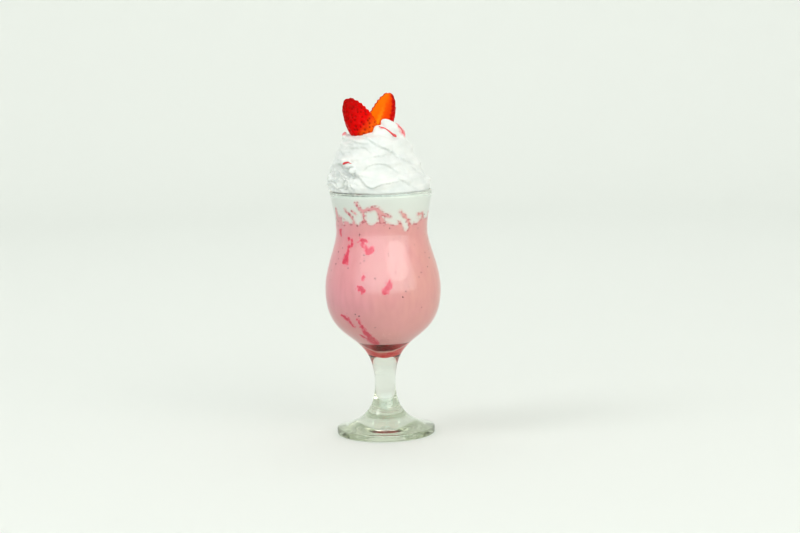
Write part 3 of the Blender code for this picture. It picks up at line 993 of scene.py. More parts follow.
def surface_lift(places):
    """How far, in mm, each place of the heap is lifted or sunk by all that works its surface."""
    above = np.clip((places[:, 2] - GLASS_HEIGHT) / (3 * MM), 0.0, 1.0)
    crinkled = np.clip(0.5 + 1.5 * noise_at(places, CRINKLED_PATCH, 3.0), 0.15, 1.0)
    creases = np.clip(1 - np.abs(noise_at(places, CREASE_GAP, 6.0)) / CREASE_SHARE, 0.0, 1.0)
    rough = 0.75 * noise_at(places, 9 * MM, 2.0) + 0.4 * crinkled * noise_at(places, 3.2 * MM, 4.0)
    worked = rough - CREASE_DEPTH * crinkled * creases - HEAP_SHRINK + crumple(places)
    return fold_lift(places) + above * worked


def make_cream(finish):
    """The whipped cream: piped turns, folds, curls, and the plug in the glass."""
    base = heap_base(finish)
    cage = cage_of(base.data)
    add_curls(cage)
    bpy.data.objects.remove(base)
    heap = joined("whipped_cream_heap", cage, finish, HEAP_VOXEL, 3)
    places = pressed(vertex_places(heap.data))
    move_vertices(heap.data, places)
    lift = surface_lift(places)[:, None] * vertex_normals(heap.data) * MM
    move_vertices(heap.data, places + lift)
    relax(heap, 2)
    fit_in_mouth(heap.data)
    stains = [np.array(s) + (0, 0, GLASS_HEIGHT / MM, 0) for s in JUICE_STAINS]
    write_attribute(heap.data, "juice_reach", reach_into(vertex_places(heap.data), stains))
    return settle(heap, "cream", "whipped_cream")


def fit_in_mouth(mesh):
    """Puts the cream's side just into the glass's wall, and leaves the lip free."""
    places = vertex_places(mesh)
    radius = np.hypot(places[:, 0], places[:, 1])
    wall = inner_wall(np.minimum(places[:, 2], GLASS_HEIGHT))
    contact = GLASS_HEIGHT - CONTACT_BELOW_RIM
    touching = (places[:, 2] < contact) & (radius > wall - CONTACT_REACH)
    free = (places[:, 2] >= contact) & (places[:, 2] < GLASS_HEIGHT + 0.4 * MM)
    wanted = np.where(touching, wall + CREAM_INTO_WALL, radius)
    wanted = np.where(free, np.minimum(radius, wall - LIP_GAP), wanted)
    scale = wanted / np.maximum(radius, 1e-9)
    move_vertices(mesh, places * np.stack((scale, scale, np.ones_like(scale)), axis=1))


def make_sauce(heap, finish):
    """Thin lines of sauce, laid on the cream."""
    cage = cage_of(heap.data)
    tree = BVHTree.FromBMesh(cage)
    cage.free()
    sauce = bmesh.new()
    for line in (SAUCE_LINE, SAUCE_DROP, SAUCE_LIP):
        path = smooth_path(line, 40)
        path[:, 2] += GLASS_HEIGHT / MM
        places = np.array([tree.find_nearest(Vector(p[:3]) * MM)[0] for p in path])
        own = path[:, 3] * MM
        sauce.from_mesh(swept("sauce", places, own, np.zeros(len(places)), finish, SAUCE_SIDES))
    name = "strawberry_sauce"
    return settle(add_piece(name, mesh_from(sauce, name), finish), "syrup")


# ---------------------------------------------------------------- strawberries


def berry_surface(along, around):
    """Places on a whole berry, along from -1 at the stalk to 1 at the tip."""
    half_width = BERRY_WIDTH / 2 / (1 + 0.23 * BERRY_TAPER)
    ring = np.maximum(1 - along**2, 0.0) ** (BERRY_BLUNTNESS / 2)
    radius = half_width * (1 - BERRY_TAPER * along) * ring
    height = BERRY_LENGTH * (along + 1) / 2
    return np.stack((radius * np.cos(around), radius * np.sin(around), height), axis=-1)


def berry_seeds():
    """(along, around) of seeds spread evenly over the skin of half a berry."""
    index = np.arange(BERRY_SEEDS)
    draw = np.random.default_rng(5)
    drift = draw.uniform(-1, 1, (2, BERRY_SEEDS)) * SEED_DRIFT
    along = 1 - 2 * (index + 0.5) / BERRY_SEEDS + drift[0] / (BERRY_LENGTH / 2)
    around = (index * math.pi * (3 - math.sqrt(5)) + drift[1] / (BERRY_WIDTH / 2)) % (2 * math.pi)
    kept = (np.sin(around) < -0.2) & (np.abs(along) < 0.99)
    edge = np.arange(-0.8, 0.95, EDGE_SEED_GAP / (BERRY_LENGTH / 2))
    along = np.concatenate((along[kept], edge, edge + 0.5 * (edge[1] - edge[0])))
    around = np.concatenate((around[kept], np.full_like(edge, math.pi), np.full_like(edge, 2 * math.pi)))
    return np.clip(along, -0.99, 0.99), around


def berry_out(places):
    """The way out of a whole berry's skin at each place."""
    middle = np.array((0.0, 0.0, 0.47 * BERRY_LENGTH))
    out = (places - middle) / (BERRY_WIDTH**2, BERRY_WIDTH**2, 1.3 * BERRY_LENGTH**2)
    return out / np.linalg.norm(out, axis=-1, keepdims=True)


def berry_matrix(side):
    tip, points, cut_faces = (Vector(v) for v in BERRIES[side][:3])
    up = points.normalized()
    across = cut_faces.cross(up).normalized()
    turn = Matrix((across, up.cross(across), up)).transposed()
    return Matrix.Translation(tip * MM - BERRY_LENGTH * up) @ turn.to_4x4()


def moved(matrix, places):
    return places @ np.array(matrix.to_3x3()).T + np.array(matrix.translation)


def dimpled_skin(seeds):
    """(along, around, places, dimple) over the skin of half a berry, dimple being 1 in the pits."""
    along = -np.cos(np.linspace(0.0, math.pi, BERRY_ROWS))[:, None]
    around = np.linspace(math.pi, 2 * math.pi, SKIN_COLUMNS)[None, :]
    places = berry_surface(np.broadcast_to(along, (BERRY_ROWS, SKIN_COLUMNS)), around)
    widths = np.random.default_rng(8).uniform(*DIMPLE_WIDTHS, len(seeds))
    gap = np.full(places.shape[:2], 1.0)
    for seed, width in zip(seeds, widths):
        gap = np.minimum(gap, np.linalg.norm(places - seed, axis=-1) / width)
    dimple = np.exp(-((gap / DIMPLE_RADIUS) ** 2))
    return along, around, places - (DIMPLE_DEPTH * dimple)[..., None] * berry_out(places), dimple


def cut_face(along, skin):
    """(across, places, mm from the skin) over the cut face, between the skin's two edges."""
    across = np.linspace(1.0, -1.0, FACE_COLUMNS)[None, 1:-1, None]
    right, left = skin[:, -1:, :], skin[:, :1, :]
    face = right * (1 + across) / 2 + left * (1 - across) / 2
    half = np.maximum(right[..., 0] - left[..., 0], 1e-9) / 2
    from_skin = (1 - np.abs(across[..., 0])) * half / MM
    across = np.broadcast_to(across[..., 0], from_skin.shape)
    at_heart = np.exp(-((across / HEART_WIDTH) ** 2))
    face[..., 1] -= HEART_HOLLOW * at_heart * np.clip(1 - ((along - 0.05) / 0.75) ** 2, 0.0, 1.0)
    face[..., 1] += FACE_SWELL * np.clip(from_skin / 1.5, 0.0, 1.0)
    return across, face, from_skin


def ring_faces(rows, columns):
    """Faces of a grid whose last column meets its first."""
    corners = ((0, 0), (0, 1), (1, 1), (1, 0))
    return [
        [(row + down) * columns + (column + on) % columns for down, on in corners]
        for row in range(rows - 1)
        for column in range(columns)
    ]


def make_berry(side, skin, flesh, pips):
    """Half a strawberry: dimpled skin with its seeds, and a cut face."""
    seeds_along, seeds_around = berry_seeds()
    seeds = berry_surface(seeds_along, seeds_around)
    along, around, outside, dimple = dimpled_skin(seeds)
    across, face, from_skin = cut_face(along, outside)
    matrix = berry_matrix(side)
    ring = np.concatenate((outside, face), axis=1)
    rows, columns = ring.shape[:2]
    mesh = bpy.data.meshes.new(f"strawberry_half_{side}")
    mesh.from_pydata(moved(matrix, ring.reshape(-1, 3)).tolist(), [], ring_faces(rows, columns))

    both = {
        "dimple": (dimple, np.zeros_like(from_skin)),
        "from_skin": (np.zeros_like(dimple), from_skin),
        "across": (np.cos(around).repeat(rows, axis=0), across),
    }
    for name, parts in both.items():
        write_attribute(mesh, name, np.concatenate(parts, axis=1))
    write_attribute(mesh, "along", np.broadcast_to((along + 1) / 2, (rows, columns)).copy())
    way, (turns_from, turns_to) = BERRIES[side][3:]
    unripe = (vertex_places(mesh) @ np.array(way) / MM - turns_from) / (turns_to - turns_from)
    write_attribute(mesh, "unripe", unripe)

    piece = add_piece(mesh.name, mesh, skin, flesh)
    on_face = np.tile(np.arange(columns) >= SKIN_COLUMNS - 1, rows - 1)
    mesh.polygons.foreach_set("material_index", on_face.astype(np.int32))
    cage = cage_of(mesh)
    close_seams(cage)
    cage.to_mesh(mesh)
    cage.free()
    mesh.shade_smooth()
    mesh.set_sharp_from_angle(angle=math.radians(55))
    settle(piece, "strawberry", f"strawberry_{side}")

    inner = np.abs(np.sin(seeds_around)) > 0.15
    sunk = seeds - (DIMPLE_DEPTH - 0.15 * MM) * berry_out(seeds)
    spots = moved(matrix, sunk)[inner]
    facing = (berry_out(seeds) @ np.array(matrix.to_3x3()).T)[inner]
    tip = np.broadcast_to(np.array(matrix.col[2][:3]), facing.shape)
    growth = 0.9 + 0.2 * noise_at(spots, 2 * MM)
    name = f"strawberry_seeds_{side}"
    settle(scattered(name, spots, facing, tip, growth, BERRY_SEED_SIZE, pips), "strawberry")


# ---------------------------------------------------------------- finishes


def glass_finish():
    """Pressed soda-lime glass: clear and sharp in its glints, and a little green where it is thick."""
    made, tree = new_material("pressed soda-lime glass")
    inputs = {
        "Base Color": linear("#FBFDFB"),
        "Roughness": 0.01,
        "IOR": 1.52,
        "Transmission Weight": 1.0,
    }
    body = node(tree, "ShaderNodeBsdfPrincipled", inputs)
    clear = node(tree, "ShaderNodeBsdfTransparent", {"Color": linear("#EDF1ED")})
    shadow = node(tree, "ShaderNodeLightPath").outputs["Is Shadow Ray"]
    mixed = node(tree, "ShaderNodeMixShader", {0: shadow, 1: body, 2: clear})
    thick = node(tree, "ShaderNodeVolumeAbsorption", {"Color": linear("#E5E8DC"), "Density": 34.0})
    node(tree, "ShaderNodeOutputMaterial", {"Surface": mixed, "Volume": thick})
    return made


def shake_finish():
    """Blended milk and strawberry against glass: dense pink, no gloss, cream and red pulp run into it."""
    made, tree = new_material("strawberry milkshake")
    place = node(tree, "ShaderNodeTexCoord").outputs["Object"]
    axes = node(tree, "ShaderNodeSeparateXYZ", {"Vector": place}).outputs

    # Pink with painted light: warmer to the right, standing in for warm light from that side, and paler
    # below, standing in for more light on the bowl's lower part; with upright streaks.
    clouds = node(tree, "ShaderNodeTexNoise", {"Vector": place, "Scale": scale_for(22 * MM), "Detail": 2.0})
    drift = node(tree, "ShaderNodeMath", {0: clouds, 1: 60 * MM, 2: -30 * MM}, operation="MULTIPLY_ADD")
    swirl = node(tree, "ShaderNodeMath", {0: axes["X"], 1: drift}, operation="ADD")
    warm = node(tree, "ShaderNodeMapRange", {0: swirl, 1: -35 * MM, 2: 35 * MM})
    inputs = {0: warm, 6: linear("#F8AFBB"), 7: linear("#F4B8B1")}
    pink = node(tree, "ShaderNodeMix", inputs, **COLOURS).outputs[2]
    tall = node(tree, "ShaderNodeMapping", {"Vector": place, "Scale": (1.0, 1.0, 0.22)})
    streaks = node(tree, "ShaderNodeTexNoise", {"Vector": tall, "Scale": scale_for(4.0 * MM), "Detail": 4.0})
    streaky = node(tree, "ShaderNodeMapRange", {0: streaks, 1: 0.3, 2: 0.7, 4: 0.45})
    pink = node(tree, "ShaderNodeMix", {0: streaky, 6: pink, 7: linear("#E69CA4")}, **COLOURS).outputs[2]
    # Painted light: the pink grows paler towards the bottom of the bowl.
    low = node(tree, "ShaderNodeMapRange", {0: axes["Z"], 1: 100 * MM, 2: 80 * MM, 4: 0.75})
    pink = node(tree, "ShaderNodeMix", {0: low, 6: pink, 7: linear("#FFBCBC")}, **COLOURS).outputs[2]

    # Smears of red pulp with torn edges, deepest in their middle.
    inputs = {"Vector": place, "Scale": scale_for(1.9 * MM), "Detail": 5.0, "Roughness": 0.6}
    torn = node(tree, "ShaderNodeTexNoise", inputs)
    shift = node(tree, "ShaderNodeMath", {0: torn, 1: 7.0, 2: -3.3}, operation="MULTIPLY_ADD")
    smear = node(tree, "ShaderNodeAttribute", attribute_name="smear_reach").outputs["Fac"]
    smear = node(tree, "ShaderNodeMath", {0: smear, 1: shift}, operation="ADD")
    deep = node(tree, "ShaderNodeMapRange", {0: smear, 1: 0.0, 2: 1.4}, **SOFT_ENDS)
    inputs = {0: deep, 6: linear("#F8607E"), 7: linear("#EC2856")}
    red = node(tree, "ShaderNodeMix", inputs, **COLOURS).outputs[2]
    pulpy = node(tree, "ShaderNodeMapRange", {0: smear, 1: -0.6, 2: 0.2, 4: 0.92}, **SOFT_ENDS)
    pink = node(tree, "ShaderNodeMix", {0: pulpy, 6: pink, 7: red}, **COLOURS).outputs[2]

    # Cream with a ragged edge, whiter further in.
    inputs = {"Vector": place, "Scale": scale_for(3.0 * MM), "Detail": 6.0, "Roughness": 0.62}
    ragged = node(tree, "ShaderNodeTexNoise", inputs)
    wobble = node(tree, "ShaderNodeMath", {0: ragged, 1: 4.4, 2: -2.2}, operation="MULTIPLY_ADD")
    reach = node(tree, "ShaderNodeAttribute", attribute_name="cream_reach").outputs["Fac"]
    reach = node(tree, "ShaderNodeMath", {0: reach, 1: wobble}, operation="ADD")
    milky = node(tree, "ShaderNodeMapRange", {0: reach, 1: 0.0, 2: 2.4}, **SOFT_ENDS)
    inputs = {0: milky, 6: linear("#F0E2DE"), 7: linear("#F2F6F2")}
    white = node(tree, "ShaderNodeMix", inputs, **COLOURS).outputs[2]
    creamy = node(tree, "ShaderNodeMapRange", {0: reach, 1: -0.2, 2: 0.2}, **SOFT_ENDS)
    colour = node(tree, "ShaderNodeMix", {0: creamy, 6: pink, 7: white}, **COLOURS).outputs[2]

    # Bits of red along that edge.
    edge = node(tree, "ShaderNodeMath", {0: reach}, operation="ABSOLUTE")
    edge = node(tree, "ShaderNodeMapRange", {0: edge, 1: 1.3, 2: 0.2}, **SOFT_ENDS)
    bits = node(tree, "ShaderNodeMapRange", {0: torn, 1: 0.5, 2: 0.58, 4: 0.8}, **SOFT_ENDS)
    bits = node(tree, "ShaderNodeMath", {0: edge, 1: bits}, operation="MULTIPLY")
    colour = node(tree, "ShaderNodeMix", {0: bits, 6: colour, 7: linear("#C8485C")}, **COLOURS).outputs[2]

    inputs = {"Base Color": colour, "Roughness": 0.55, "IOR": 1.35, "Specular IOR Level": 0.0}
    body = node(tree, "ShaderNodeBsdfPrincipled", inputs)
    node(tree, "ShaderNodeOutputMaterial", {"Surface": body})
    return made


def syrup_finish():
    """Strawberry syrup against glass: dark red where it is deep, bright below a pale line that is a painted
    reflection, no gloss.
    """
    made, tree = new_material("strawberry syrup")
    place = node(tree, "ShaderNodeTexCoord").outputs["Object"]
    swirl = node(tree, "ShaderNodeTexNoise", {"Vector": place, "Scale": scale_for(4.0 * MM), "Detail": 4.0})
    patches = node(tree, "ShaderNodeMapRange", {0: swirl, 1: 0.35, 2: 0.65})
    inputs = {0: patches, 6: linear("#5E0206"), 7: linear("#A80A12")}
    deep = node(tree, "ShaderNodeMix", inputs, **COLOURS).outputs[2]
    aside = node(tree, "ShaderNodeSeparateXYZ", {"Vector": place}).outputs["X"]
    aside = node(tree, "ShaderNodeMath", {0: aside}, operation="ABSOLUTE")
    shallow = node(tree, "ShaderNodeMapRange", {0: aside, 1: 4 * MM, 2: 10 * MM}, **SOFT_ENDS)
    deep = node(tree, "ShaderNodeMix", {0: shallow, 6: deep, 7: linear("#C41218")}, **COLOURS).outputs[2]
    inputs = {0: patches, 6: linear("#FA3E42"), 7: linear("#FF7470")}
    thin = node(tree, "ShaderNodeMix", inputs, **COLOURS).outputs[2]

    drift = node(tree, "ShaderNodeMath", {0: swirl, 1: 1.2, 2: -0.6}, operation="MULTIPLY_ADD")
    over = node(tree, "ShaderNodeAttribute", attribute_name="over_pale_line").outputs["Fac"]
    over = node(tree, "ShaderNodeMath", {0: over, 1: drift}, operation="ADD")
    upper = node(tree, "ShaderNodeMapRange", {0: over, 1: -0.3, 2: 0.3}, **SOFT_ENDS)
    colour = node(tree, "ShaderNodeMix", {0: upper, 6: thin, 7: deep}, **COLOURS).outputs[2]
    # Painted reflection: a pale line along the edge between the deep and the bright syrup.
    away = node(tree, "ShaderNodeMath", {0: over}, operation="ABSOLUTE")
    milk = node(tree, "ShaderNodeMapRange", {0: away, 1: 0.8, 2: 0.35}, **SOFT_ENDS)
    colour = node(tree, "ShaderNodeMix", {0: milk, 6: colour, 7: linear("#FFBCB2")}, **COLOURS).outputs[2]

    inputs = {"Base Color": colour, "Roughness": 0.15, "IOR": 1.4, "Specular IOR Level": 0.0}
    body = node(tree, "ShaderNodeBsdfPrincipled", inputs)
    node(tree, "ShaderNodeOutputMaterial", {"Surface": body})
    return made


def sauce_finish():
    """Strawberry sauce in a thin line: clear bright red and wet."""
    made, tree = new_material("strawberry sauce")
    place = node(tree, "ShaderNodeTexCoord").outputs["Object"]
    uneven = node(tree, "ShaderNodeTexNoise", {"Vector": place, "Scale": scale_for(2.5 * MM), "Detail": 2.0})
    share = node(tree, "ShaderNodeMapRange", {0: uneven, 1: 0.35, 2: 0.65})
    inputs = {0: share, 6: linear("#C8141C"), 7: linear("#E03038")}
    colour = node(tree, "ShaderNodeMix", inputs, **COLOURS).outputs[2]
    inputs = {
        "Base Color": colour,
        "Roughness": 0.12,
        "IOR": 1.4,
        "Subsurface Weight": 0.3,
        "Subsurface Radius": (1.0, 0.25, 0.2),
        "Subsurface Scale": 0.8 * MM,
    }
    body = node(tree, "ShaderNodeBsdfPrincipled", inputs)
    node(tree, "ShaderNodeOutputMaterial", {"Surface": body})
    return made


def cream_finish():
    """Whipped cream: bright, soft and fine-pored, stained pink by juice, with painted grey shade along the
    lip on the left.
    """
    made, tree = new_material("whipped cream")
    place = node(tree, "ShaderNodeTexCoord").outputs["Object"]
    clouds = node(tree, "ShaderNodeTexNoise", {"Vector": place, "Scale": scale_for(11 * MM), "Detail": 3.0})
    share = node(tree, "ShaderNodeMapRange", {0: clouds, 1: 0.35, 2: 0.65})
    inputs = {0: share, 6: linear("#DADEDC"), 7: linear("#E6E8E5")}
    white = node(tree, "ShaderNodeMix", inputs, **COLOURS).outputs[2]
    ragged = node(tree, "ShaderNodeTexNoise", {"Vector": place, "Scale": scale_for(2.2 * MM), "Detail": 3.0})
    wobble = node(tree, "ShaderNodeMath", {0: ragged, 1: 2.0, 2: -1.0}, operation="MULTIPLY_ADD")
    reach = node(tree, "ShaderNodeAttribute", attribute_name="juice_reach").outputs["Fac"]
    reach = node(tree, "ShaderNodeMath", {0: reach, 1: wobble}, operation="ADD")
    stained = node(tree, "ShaderNodeMapRange", {0: reach, 1: -1.2, 2: 0.9, 4: 0.85}, **SOFT_ENDS)
    inputs = {0: stained, 6: white, 7: linear("#E8707A")}
    colour = node(tree, "ShaderNodeMix", inputs, **COLOURS).outputs[2]

    # Painted shade: the cream is greyed in a torn band just under the glass's lip, most of all on the left.
    axes = node(tree, "ShaderNodeSeparateXYZ", {"Vector": place}).outputs
    lip = GLASS_HEIGHT - 1.2 * MM
    from_lip = node(tree, "ShaderNodeMath", {0: axes["Z"], 1: lip}, operation="SUBTRACT")
    from_lip = node(tree, "ShaderNodeMath", {0: from_lip}, operation="ABSOLUTE")
    at_lip = node(tree, "ShaderNodeMapRange", {0: from_lip, 1: 2.2 * MM, 2: 1.2 * MM})
    left = node(tree, "ShaderNodeMapRange", {0: axes["X"], 1: 12 * MM, 2: -16 * MM, 3: 0.2, 4: 0.85})
    torn = node(tree, "ShaderNodeMapRange", {0: ragged, 1: 0.35, 2: 0.55, 3: 0.35})
    wet = node(tree, "ShaderNodeMath", {0: at_lip, 1: left}, operation="MULTIPLY")
    wet = node(tree, "ShaderNodeMath", {0: wet, 1: torn}, operation="MULTIPLY")
    colour = node(tree, "ShaderNodeMix", {0: wet, 6: colour, 7: linear("#6E746C")}, **COLOURS).outputs[2]

    pores = node(tree, "ShaderNodeTexNoise", {"Vector": place, "Scale": scale_for(1.1 * MM), "Detail": 4.0})
    inputs = {
        "Base Color": colour,
        "Roughness": 0.5,
        "IOR": 1.4,
        "Specular IOR Level": 0.35,
        "Subsurface Weight": 0.3,
        "Subsurface Radius": (1.0, 0.95, 0.85),
        "Subsurface Scale": 1.2 * MM,
        "Normal": node(tree, "ShaderNodeBump", {"Strength": 0.35, "Distance": 0.25 * MM, "Height": pores}),
    }
    body = node(tree, "ShaderNodeBsdfPrincipled", inputs)
    node(tree, "ShaderNodeOutputMaterial", {"Surface": body})
    return made


def skin_finish():
    """Strawberry skin: deep red running to orange where it is less ripe, with painted shade in its dimples,
    moist.
    """
    made, tree = new_material("strawberry skin")
    place = node(tree, "ShaderNodeTexCoord").outputs["Object"]
    mottle = node(tree, "ShaderNodeTexNoise", {"Vector": place, "Scale": scale_for(5.0 * MM), "Detail": 3.0})
    shift = node(tree, "ShaderNodeMath", {0: mottle, 1: 0.8, 2: -0.4}, operation="MULTIPLY_ADD")
    slope = node(tree, "ShaderNodeAttribute", attribute_name="unripe").outputs["Fac"]
    slope = node(tree, "ShaderNodeMath", {0: slope, 1: shift}, operation="ADD")
    ripe = node(tree, "ShaderNodeMapRange", {0: slope, 1: -2.1, 2: 0.0}, **SOFT_ENDS)
    inputs = {0: ripe, 6: linear("#AC0202"), 7: linear("#D80402")}
    red = node(tree, "ShaderNodeMix", inputs, **COLOURS).outputs[2]
    unripe = node(tree, "ShaderNodeMapRange", {0: slope, 1: 0.0, 2: 1.0}, **SOFT_ENDS)
    colour = node(tree, "ShaderNodeMix", {0: unripe, 6: red, 7: linear("#E85A08")}, **COLOURS).outputs[2]
    # Painted shade: the skin turns darker red in the pits of its dimples.
    dimple = node(tree, "ShaderNodeAttribute", attribute_name="dimple").outputs["Fac"]
    shade = node(tree, "ShaderNodeMapRange", {0: dimple, 1: 0.3, 2: 0.95, 4: 0.5}, **SOFT_ENDS)
    colour = node(tree, "ShaderNodeMix", {0: shade, 6: colour, 7: linear("#980200")}, **COLOURS).outputs[2]

    fine = node(tree, "ShaderNodeTexNoise", {"Vector": place, "Scale": scale_for(0.9 * MM), "Detail": 2.0})
    inputs = {
        "Base Color": colour,
        "Roughness": 0.36,
        "IOR": 1.4,
        "Specular IOR Level": 0.04,
        "Subsurface Weight": 0.04,
        "Subsurface Radius": (1.0, 0.2, 0.05),
        "Subsurface Scale": 0.8 * MM,
        "Normal": node(tree, "ShaderNodeBump", {"Strength": 0.25, "Distance": 0.15 * MM, "Height": fine}),
    }
    body = node(tree, "ShaderNodeBsdfPrincipled", inputs)
    node(tree, "ShaderNodeOutputMaterial", {"Surface": body})
    return made


def flesh_finish():
    """Cut strawberry: orange-red and wet, with a pale heart and a red rim under the skin."""
    made, tree = new_material("cut strawberry flesh")
    place = node(tree, "ShaderNodeTexCoord").outputs["Object"]
    along, across, from_skin = (
        node(tree, "ShaderNodeAttribute", attribute_name=name).outputs["Fac"]
        for name in ("along", "across", "from_skin")
    )
    mottle = node(tree, "ShaderNodeTexNoise", {"Vector": place, "Scale": scale_for(4.0 * MM), "Detail": 3.0})
    shift = node(tree, "ShaderNodeMath", {0: mottle, 1: 0.7, 2: -0.35}, operation="MULTIPLY_ADD")
    side = node(tree, "ShaderNodeMath", {0: across, 1: shift}, operation="ADD")
    warm = node(tree, "ShaderNodeMapRange", {0: side, 1: 0.5, 2: -0.8}, **SOFT_ENDS)
    inputs = {0: warm, 6: linear("#FE7602"), 7: linear("#F04604")}
    colour = node(tree, "ShaderNodeMix", inputs, **COLOURS).outputs[2]
    spread = node(tree, "ShaderNodeMath", {0: across}, operation="ABSOLUTE")
    core = node(tree, "ShaderNodeMapRange", {0: spread, 1: 0.3, 2: 0.0}, **SOFT_ENDS)
    tipward = node(tree, "ShaderNodeMapRange", {0: along, 1: 0.85, 2: 0.35}, **SOFT_ENDS)
    heart = node(tree, "ShaderNodeMath", {0: core, 1: tipward}, operation="MULTIPLY")
    colour = node(tree, "ShaderNodeMix", {0: heart, 6: colour, 7: linear("#FF9A14")}, **COLOURS).outputs[2]
    rim = node(tree, "ShaderNodeMapRange", {0: from_skin, 1: 1.9, 2: 0.4}, **SOFT_ENDS)
    colour = node(tree, "ShaderNodeMix", {0: rim, 6: colour, 7: linear("#C41406")}, **COLOURS).outputs[2]

    fine = node(tree, "ShaderNodeTexNoise", {"Vector": place, "Scale": scale_for(1.0 * MM), "Detail": 3.0})
    inputs = {
        "Base Color": colour,
        "Roughness": 0.4,
        "IOR": 1.38,
        "Specular IOR Level": 0.03,
        "Subsurface Weight": 0.1,
        "Subsurface Radius": (1.0, 0.4, 0.1),
        "Subsurface Scale": 1.0 * MM,
        "Normal": node(tree, "ShaderNodeBump", {"Strength": 0.3, "Distance": 0.2 * MM, "Height": fine}),
    }
    body = node(tree, "ShaderNodeBsdfPrincipled", inputs)
    node(tree, "ShaderNodeOutputMaterial", {"Surface": body})
    return made


def seed_finish(name, dark, light, shine):
    """Strawberry seeds: small, hard and slightly shiny, no two quite the same brown."""
    made, tree = new_material(name)
    place = node(tree, "ShaderNodeTexCoord").outputs["Object"]
    mixed = node(tree, "ShaderNodeTexNoise", {"Vector": place, "Scale": scale_for(4.0 * MM), "Detail": 1.0})
    share = node(tree, "ShaderNodeMapRange", {0: mixed, 1: 0.4, 2: 0.65})
    inputs = {0: share, 6: linear(dark), 7: linear(light)}
    colour = node(tree, "ShaderNodeMix", inputs, **COLOURS).outputs[2]
    inputs = {"Base Color": colour, "Roughness": 0.4, "IOR": 1.45, "Specular IOR Level": shine}
    body = node(tree, "ShaderNodeBsdfPrincipled", inputs)
    node(tree, "ShaderNodeOutputMaterial", {"Surface": body})
    return made


def sweep_finish():
    """Painted studio sweep: matt and off-white."""
    made, tree = new_material("painted sweep")
    inputs = {"Base Color": linear("#E2E5E1"), "Roughness": 0.9, "Specular IOR Level": 0.2}
    body = node(tree, "ShaderNodeBsdfPrincipled", inputs)
    node(tree, "ShaderNodeOutputMaterial", {"Surface": body})
    return made


# ---------------------------------------------------------------- studio


def make_camera():
    data = bpy.data.cameras.new("camera")
    data.lens = CAMERA_LENS
    data.sensor_width = 36.0
    made = place_in_scene("camera", data)
    made.matrix_world = (
        Matrix.Translation(CAMERA_PLACE)
        @ Matrix.Rotation(math.radians(90 - CAMERA_PITCH), 4, "X")
        @ Matrix.Rotation(math.radians(-CAMERA_ROLL), 4, "Z")
    )
    bpy.context.scene.camera = made


def make_sweep():
    """A floor that curves up into a wall all round, so that every view has it behind."""
    profile = [(0.0, -UNDER_FOOT), (SWEEP_FLAT, -UNDER_FOOT)]
    for step in range(1, 17):
        turn = math.radians(90 * step / 16)
        out, up = SWEEP_BEND * math.sin(turn), SWEEP_BEND * (1 - math.cos(turn))
        profile.append((SWEEP_FLAT + out, up - UNDER_FOOT))
    profile.append((SWEEP_FLAT + SWEEP_BEND, SWEEP_HEIGHT))
    cage = spun(profile, 96)
    bmesh.ops.remove_doubles(cage, verts=cage.verts, dist=0.1 * MM)
    add_piece("sweep", mesh_from(cage, "sweep"), sweep_finish())


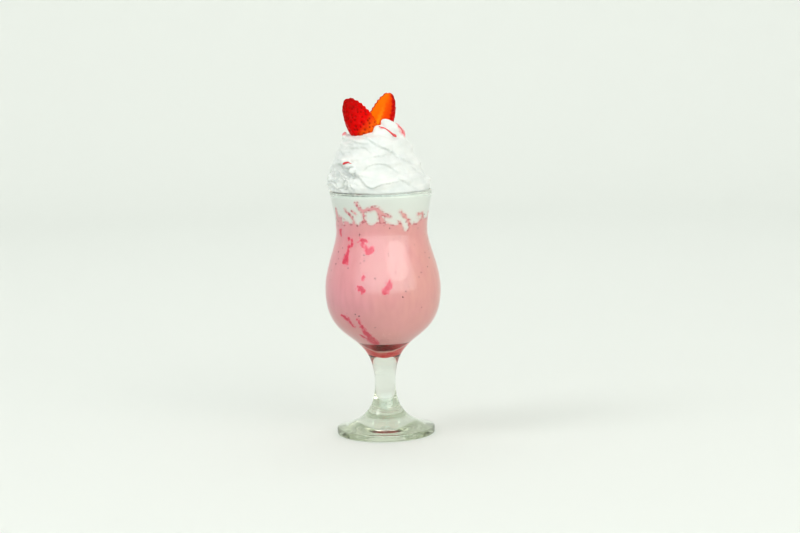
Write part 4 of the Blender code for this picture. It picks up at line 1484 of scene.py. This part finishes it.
def add_softbox(name, place, size, power, colour, aim=(0.0, 0.0, 0.14), soft=(0.22, 0.22)):
    """An area light that fades over the soft share of its size, so that its reflection has no edge."""
    data = bpy.data.lights.new(name, "AREA")
    data.shape = "RECTANGLE"
    data.size, data.size_y = size
    data.energy = power
    data.color = linear(colour)[:3]
    data.use_nodes = True
    tree = data.node_tree
    tree.nodes.clear()
    spot = node(tree, "ShaderNodeNewGeometry").outputs["Parametric"]
    centred = node(tree, "ShaderNodeVectorMath", {0: spot, 1: (0.5, 0.5, 0.0)}, operation="SUBTRACT")
    away = node(tree, "ShaderNodeVectorMath", {0: centred}, operation="ABSOLUTE")
    axes = node(tree, "ShaderNodeSeparateXYZ", {"Vector": away}).outputs
    wide, high = (
        node(tree, "ShaderNodeMapRange", {0: axes[axis], 1: 0.5, 2: 0.5 - share}, **SOFT_ENDS)
        for axis, share in zip("XY", soft)
    )
    fade = node(tree, "ShaderNodeMath", {0: wide, 1: high}, operation="MULTIPLY")
    glow = node(tree, "ShaderNodeEmission", {"Strength": fade})
    node(tree, "ShaderNodeOutputLight", {"Surface": glow})
    made = place_in_scene(name, data)
    made.visible_camera = False
    place = Vector(place)
    turn = (Vector(aim) - place).to_track_quat("-Z", "Y").to_matrix().to_4x4()
    made.matrix_world = Matrix.Translation(place) @ turn
    return made


def make_studio():
    make_camera()
    make_sweep()
    paths = bpy.context.scene.cycles
    paths.max_bounces = paths.glossy_bounces = paths.transmission_bounces = GLASS_BOUNCES
    world = bpy.data.worlds.new("studio")
    world.use_nodes = True
    back = world.node_tree.nodes["Background"]
    back.inputs["Color"].default_value = linear("#F6F8F6")
    back.inputs["Strength"].default_value = 0.86
    bpy.context.scene.world = world
    add_softbox("window", (1.2, -1.7, 1.2), (2.5, 2.5), 52.0, "#FFF9F4", soft=(0.3, 0.3))
    add_softbox("front", (-0.7, -2.0, 0.9), (3.4, 2.4), 16.0, "#FBFAFF")
    add_softbox("key", (-1.2, -0.5, 1.5), (0.9, 0.9), 12.0, "#FFFFFF")
    add_softbox("side", (1.7, -0.5, 0.9), (1.6, 1.6), 3.0, "#FFFFFF")
    add_softbox("backdrop", (0.0, 0.9, 2.0), (2.0, 1.0), 16.0, "#FFFFFF", aim=(0.0, 2.4, 0.5))
    aim, soft = (0.4, 0.0, 0.43), (0.45, 0.16)
    card = add_softbox("card", (0.4, -0.64, 0.43), (4.0, 0.82), 28.0, "#D4FCFF", aim, soft)
    card.visible_diffuse = card.visible_transmission = False
    bpy.context.scene.view_settings.view_transform = "Standard"


def main():
    make_studio()
    make_glass(glass_finish())
    pink = shake_finish()
    make_shake(pink)
    make_film(pink)
    make_specks(seed_finish("strawberry seeds in milk", "#8A3A40", "#B8646A", 0.0))
    make_syrup(syrup_finish())
    heap = make_cream(cream_finish())
    make_sauce(heap, sauce_finish())
    skin, flesh = skin_finish(), flesh_finish()
    pips = seed_finish("strawberry seeds", "#8C0602", "#B82404", 0.05)
    for side in BERRIES:
        make_berry(side, skin, flesh, pips)


main()
